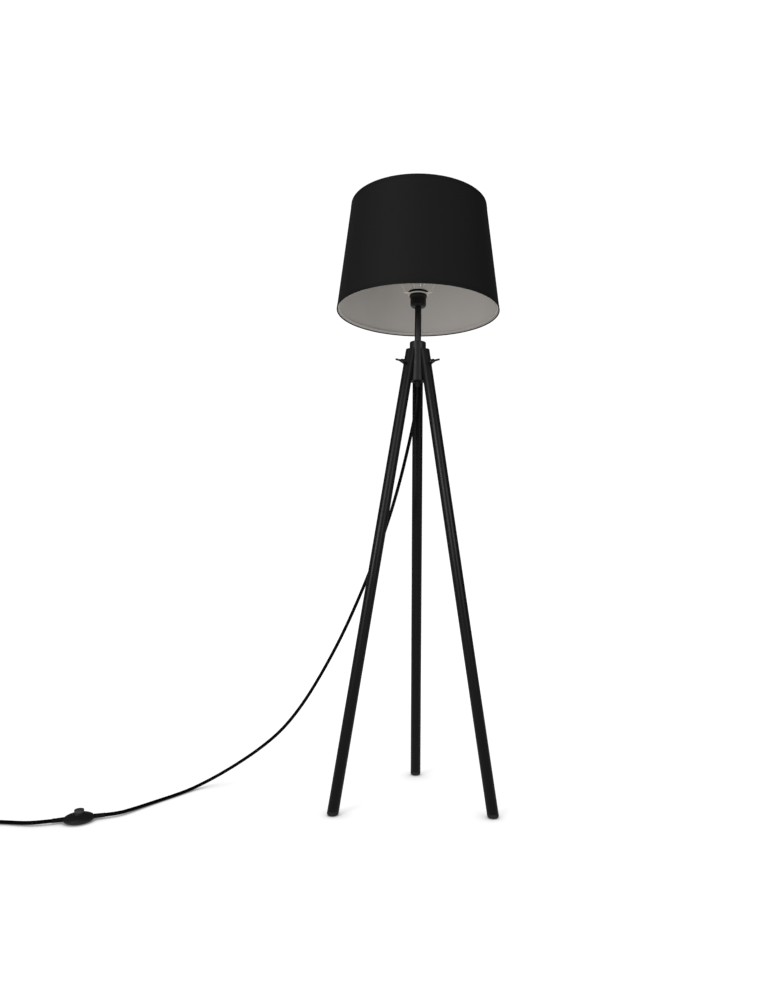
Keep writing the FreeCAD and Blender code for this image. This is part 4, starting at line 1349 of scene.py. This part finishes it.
class LAMP_OT_switch(bpy.types.Operator):
    """Makes the foot switch: two halves of its case, its button and the spring under it"""
    bl_idname = "lamp.switch"
    bl_label = "Foot Switch"

    def execute(self, context):
        settings = context.scene.lamp_switch
        place = Matrix.Translation(SWITCH_PLACE) @ Matrix.Rotation(SWITCH_HEADING, 4, "Z")
        shell = moulded_plastic("Charcoal case plastic", settings.body_colour, 0.46, 0.0005, 0.00003)
        knob = moulded_plastic("Charcoal button plastic", settings.button_colour, 0.4, 0.0004, 0.00002)
        lower = turned("switch_case_lower", self.base_outline(), 128, closed=False)
        finish(put(lower, place), "stand", "switch_plastic", shell, "switch_base", angle=40)
        upper = turned("switch_case_upper", self.dome_outline(), 128)
        finish(put(upper, place), "stand", "switch_plastic", shell, "switch_cover", angle=40)
        button = turned("switch_button_cap", self.button_outline(), 96, closed=False)
        finish(put(button, place), "switch_button", "button_plastic", knob, "switch_button")
        steel = plated_metal("Bright steel", (0.6, 0.6, 0.6), 0.25)
        dress(steel, "switch_screw_left", "switch_screw_right")
        spring = wire("button_spring", [helix(6.0, 3, (0, 0, 7.65), (0, 0, 4.0), 24)], 0.45)
        finish(put(spring, place), "stand", "spring_steel", steel, "switch_spring", angle=60)
        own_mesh(spring)
        dress(moulded_plastic("Contact block", (0.02, 0.02, 0.02), 0.4), "switch_contacts")
        return {"FINISHED"}

    def base_outline(self):
        """The saucer's lower half, curving in to its foot, hollow in the middle."""
        return [(1.0, 0.0), (25.2, 0.0), (25.6, 0.15), (27.9, 1.1), (29.7, 2.6), (30.9, 4.5), (31.4, 6.1),
                (31.2, 6.45), (13.0, 6.45), (13.0, 2.0), (1.0, 2.0)]

    def dome_outline(self):
        """The dome from its rim up to a flared collar round the button's well."""
        outline = [(13.0, 6.6), (31.1, 6.6)]
        for step in range(16):
            angle = math.radians(2 + 62 * step / 15)
            outline.append((31.5 * math.cos(angle), 6.5 + 10.5 * math.sin(angle)))
        return outline + [(12.9, 16.6), (12.3, 17.6), (11.8, 18.7), (11.4, 19.0), (10.6, 19.0), (10.4, 18.8),
                          (10.4, 14.5), (13.0, 14.5)]

    def button_outline(self):
        """Lip below, straight skirt, rounded rim and a shallow dish on top."""
        outline = [(1.0, 12.3), (11.6, 12.3), (12.0, 12.7), (12.0, 13.9), (11.6, 14.3), (10.0, 14.3),
                   (10.0, 23.8)]
        outline += arc(8.3, 23.8, 1.7, 10, 90, 6)
        return outline + [(7.6, 25.4), (7.0, 25.05), (6.0, 24.8), (4.0, 24.6), (2.0, 24.5), (0.6, 24.48)]


class LAMP_OT_plug(bpy.types.Operator):
    """Makes the flat two-pin plug"""
    bl_idname = "lamp.plug"
    bl_label = "Mains Plug"

    def execute(self, context):
        place = aimed(PLUG_ENTRY, PLUG_HEADING)
        plastic = moulded_plastic("Black plug moulding", (0.010, 0.010, 0.010), 0.48)
        grip = self.make_grip()
        finish(put(grip, place), "stand", "plug_plastic", plastic, "plug_body")
        pins = self.make_pins()
        nickel = plated_metal("Nickel plate", (0.74, 0.72, 0.68), 0.16)
        finish(put(pins, place), "stand", "pin_nickel", nickel, "plug_pin_left", "plug_pin_right")
        return {"FINISHED"}

    def make_grip(self):
        """A block extruded from the cord's end and widened to the pin face, then rounded."""
        stations = [(0.024, 0.0150, 0.0110), (0.030, 0.0182, 0.0118), (0.036, 0.0240, 0.0126),
                    (0.043, 0.0302, 0.0132), (0.050, 0.0353, 0.0137), (0.060, 0.0353, 0.0137)]
        at, wide, thick = stations[0]
        clear_bench()
        bpy.ops.mesh.primitive_plane_add(size=1, location=(0, 0, at))
        grip = named("plug_grip")
        edit(grip, "FACE")
        bpy.ops.transform.resize(value=(wide, thick, 1), center_override=(0, 0, at))
        for next_at, next_wide, next_thick in stations[1:]:
            extrude(0, 0, next_at - at)
            bpy.ops.transform.resize(value=(next_wide / wide, next_thick / thick, 1),
                                     center_override=(0, 0, next_at))
            at, wide, thick = next_at, next_wide, next_thick
        merge_close()
        leave_edit()
        soften(grip, 0.0028, 5, 40)
        ridges = []
        for step in range(4):
            for side in (-1, 1):
                clear_bench()
                bpy.ops.mesh.primitive_cube_add(size=1, location=(0, side * 0.0062, 0.0345 + 0.003 * step),
                                                scale=(0.012 + 0.002 * step, 0.0012, 0.0012))
                ridge = named("ridge")
                soften(ridge, 0.0004, 3, 40)
                ridges.append(ridge)
        return join("plug_grip", grip, *ridges)

    def make_pins(self):
        """Two round pins with rounded ends."""
        pins = []
        for side in (-1, 1):
            outline = [(0.8, 59.0), (2.0, 59.0), (2.0, 77.4)] + arc(0.4, 77.4, 1.6, 0, 85, 6)
            pin = turned("plug_pins", outline, 32, closed=False)
            pins.append(put(pin, Matrix.Translation((side * 0.0093, 0, 0))))
        return join("plug_pins", *pins)


# ---------------------------------------------------------------- panel and running

class LAMP_PT_bench(bpy.types.Panel):
    """Lists the lamp's pieces and their sizes and colours"""
    bl_idname = "LAMP_PT_bench"
    bl_label = "Tripod Floor Lamp"
    bl_space_type = "VIEW_3D"
    bl_region_type = "UI"
    bl_category = "Lamp"

    def draw(self, context):
        for operator in OPERATORS:
            self.layout.operator(operator.bl_idname)
        for name, group in SETTINGS.items():
            column = self.layout.column(align=True)
            for setting in group.__annotations__:
                column.prop(getattr(context.scene, name), setting)


OPERATORS = (
    LAMP_OT_cords, LAMP_OT_stage, LAMP_OT_legs, LAMP_OT_hub, LAMP_OT_wing_screws, LAMP_OT_holder,
    LAMP_OT_bulb, LAMP_OT_shade, LAMP_OT_shade_frame, LAMP_OT_switch, LAMP_OT_plug,
)
CLASSES = tuple(SETTINGS.values()) + OPERATORS + (LAMP_PT_bench,)


def register():
    for each in CLASSES:
        bpy.utils.register_class(each)
    for name, group in SETTINGS.items():
        setattr(bpy.types.Scene, name, bpy.props.PointerProperty(type=group))


def unregister():
    for name in SETTINGS:
        delattr(bpy.types.Scene, name)
    for each in reversed(CLASSES):
        bpy.utils.unregister_class(each)


def run(idname):
    """Calls one of the lamp's operators by its idname."""
    group, name = idname.split(".")
    getattr(getattr(bpy.ops, group), name)()


def main():
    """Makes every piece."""
    register()
    for operator in OPERATORS:
        run(operator.bl_idname)
    bpy.context.view_layer.update()


if __name__ == "__main__":
    main()
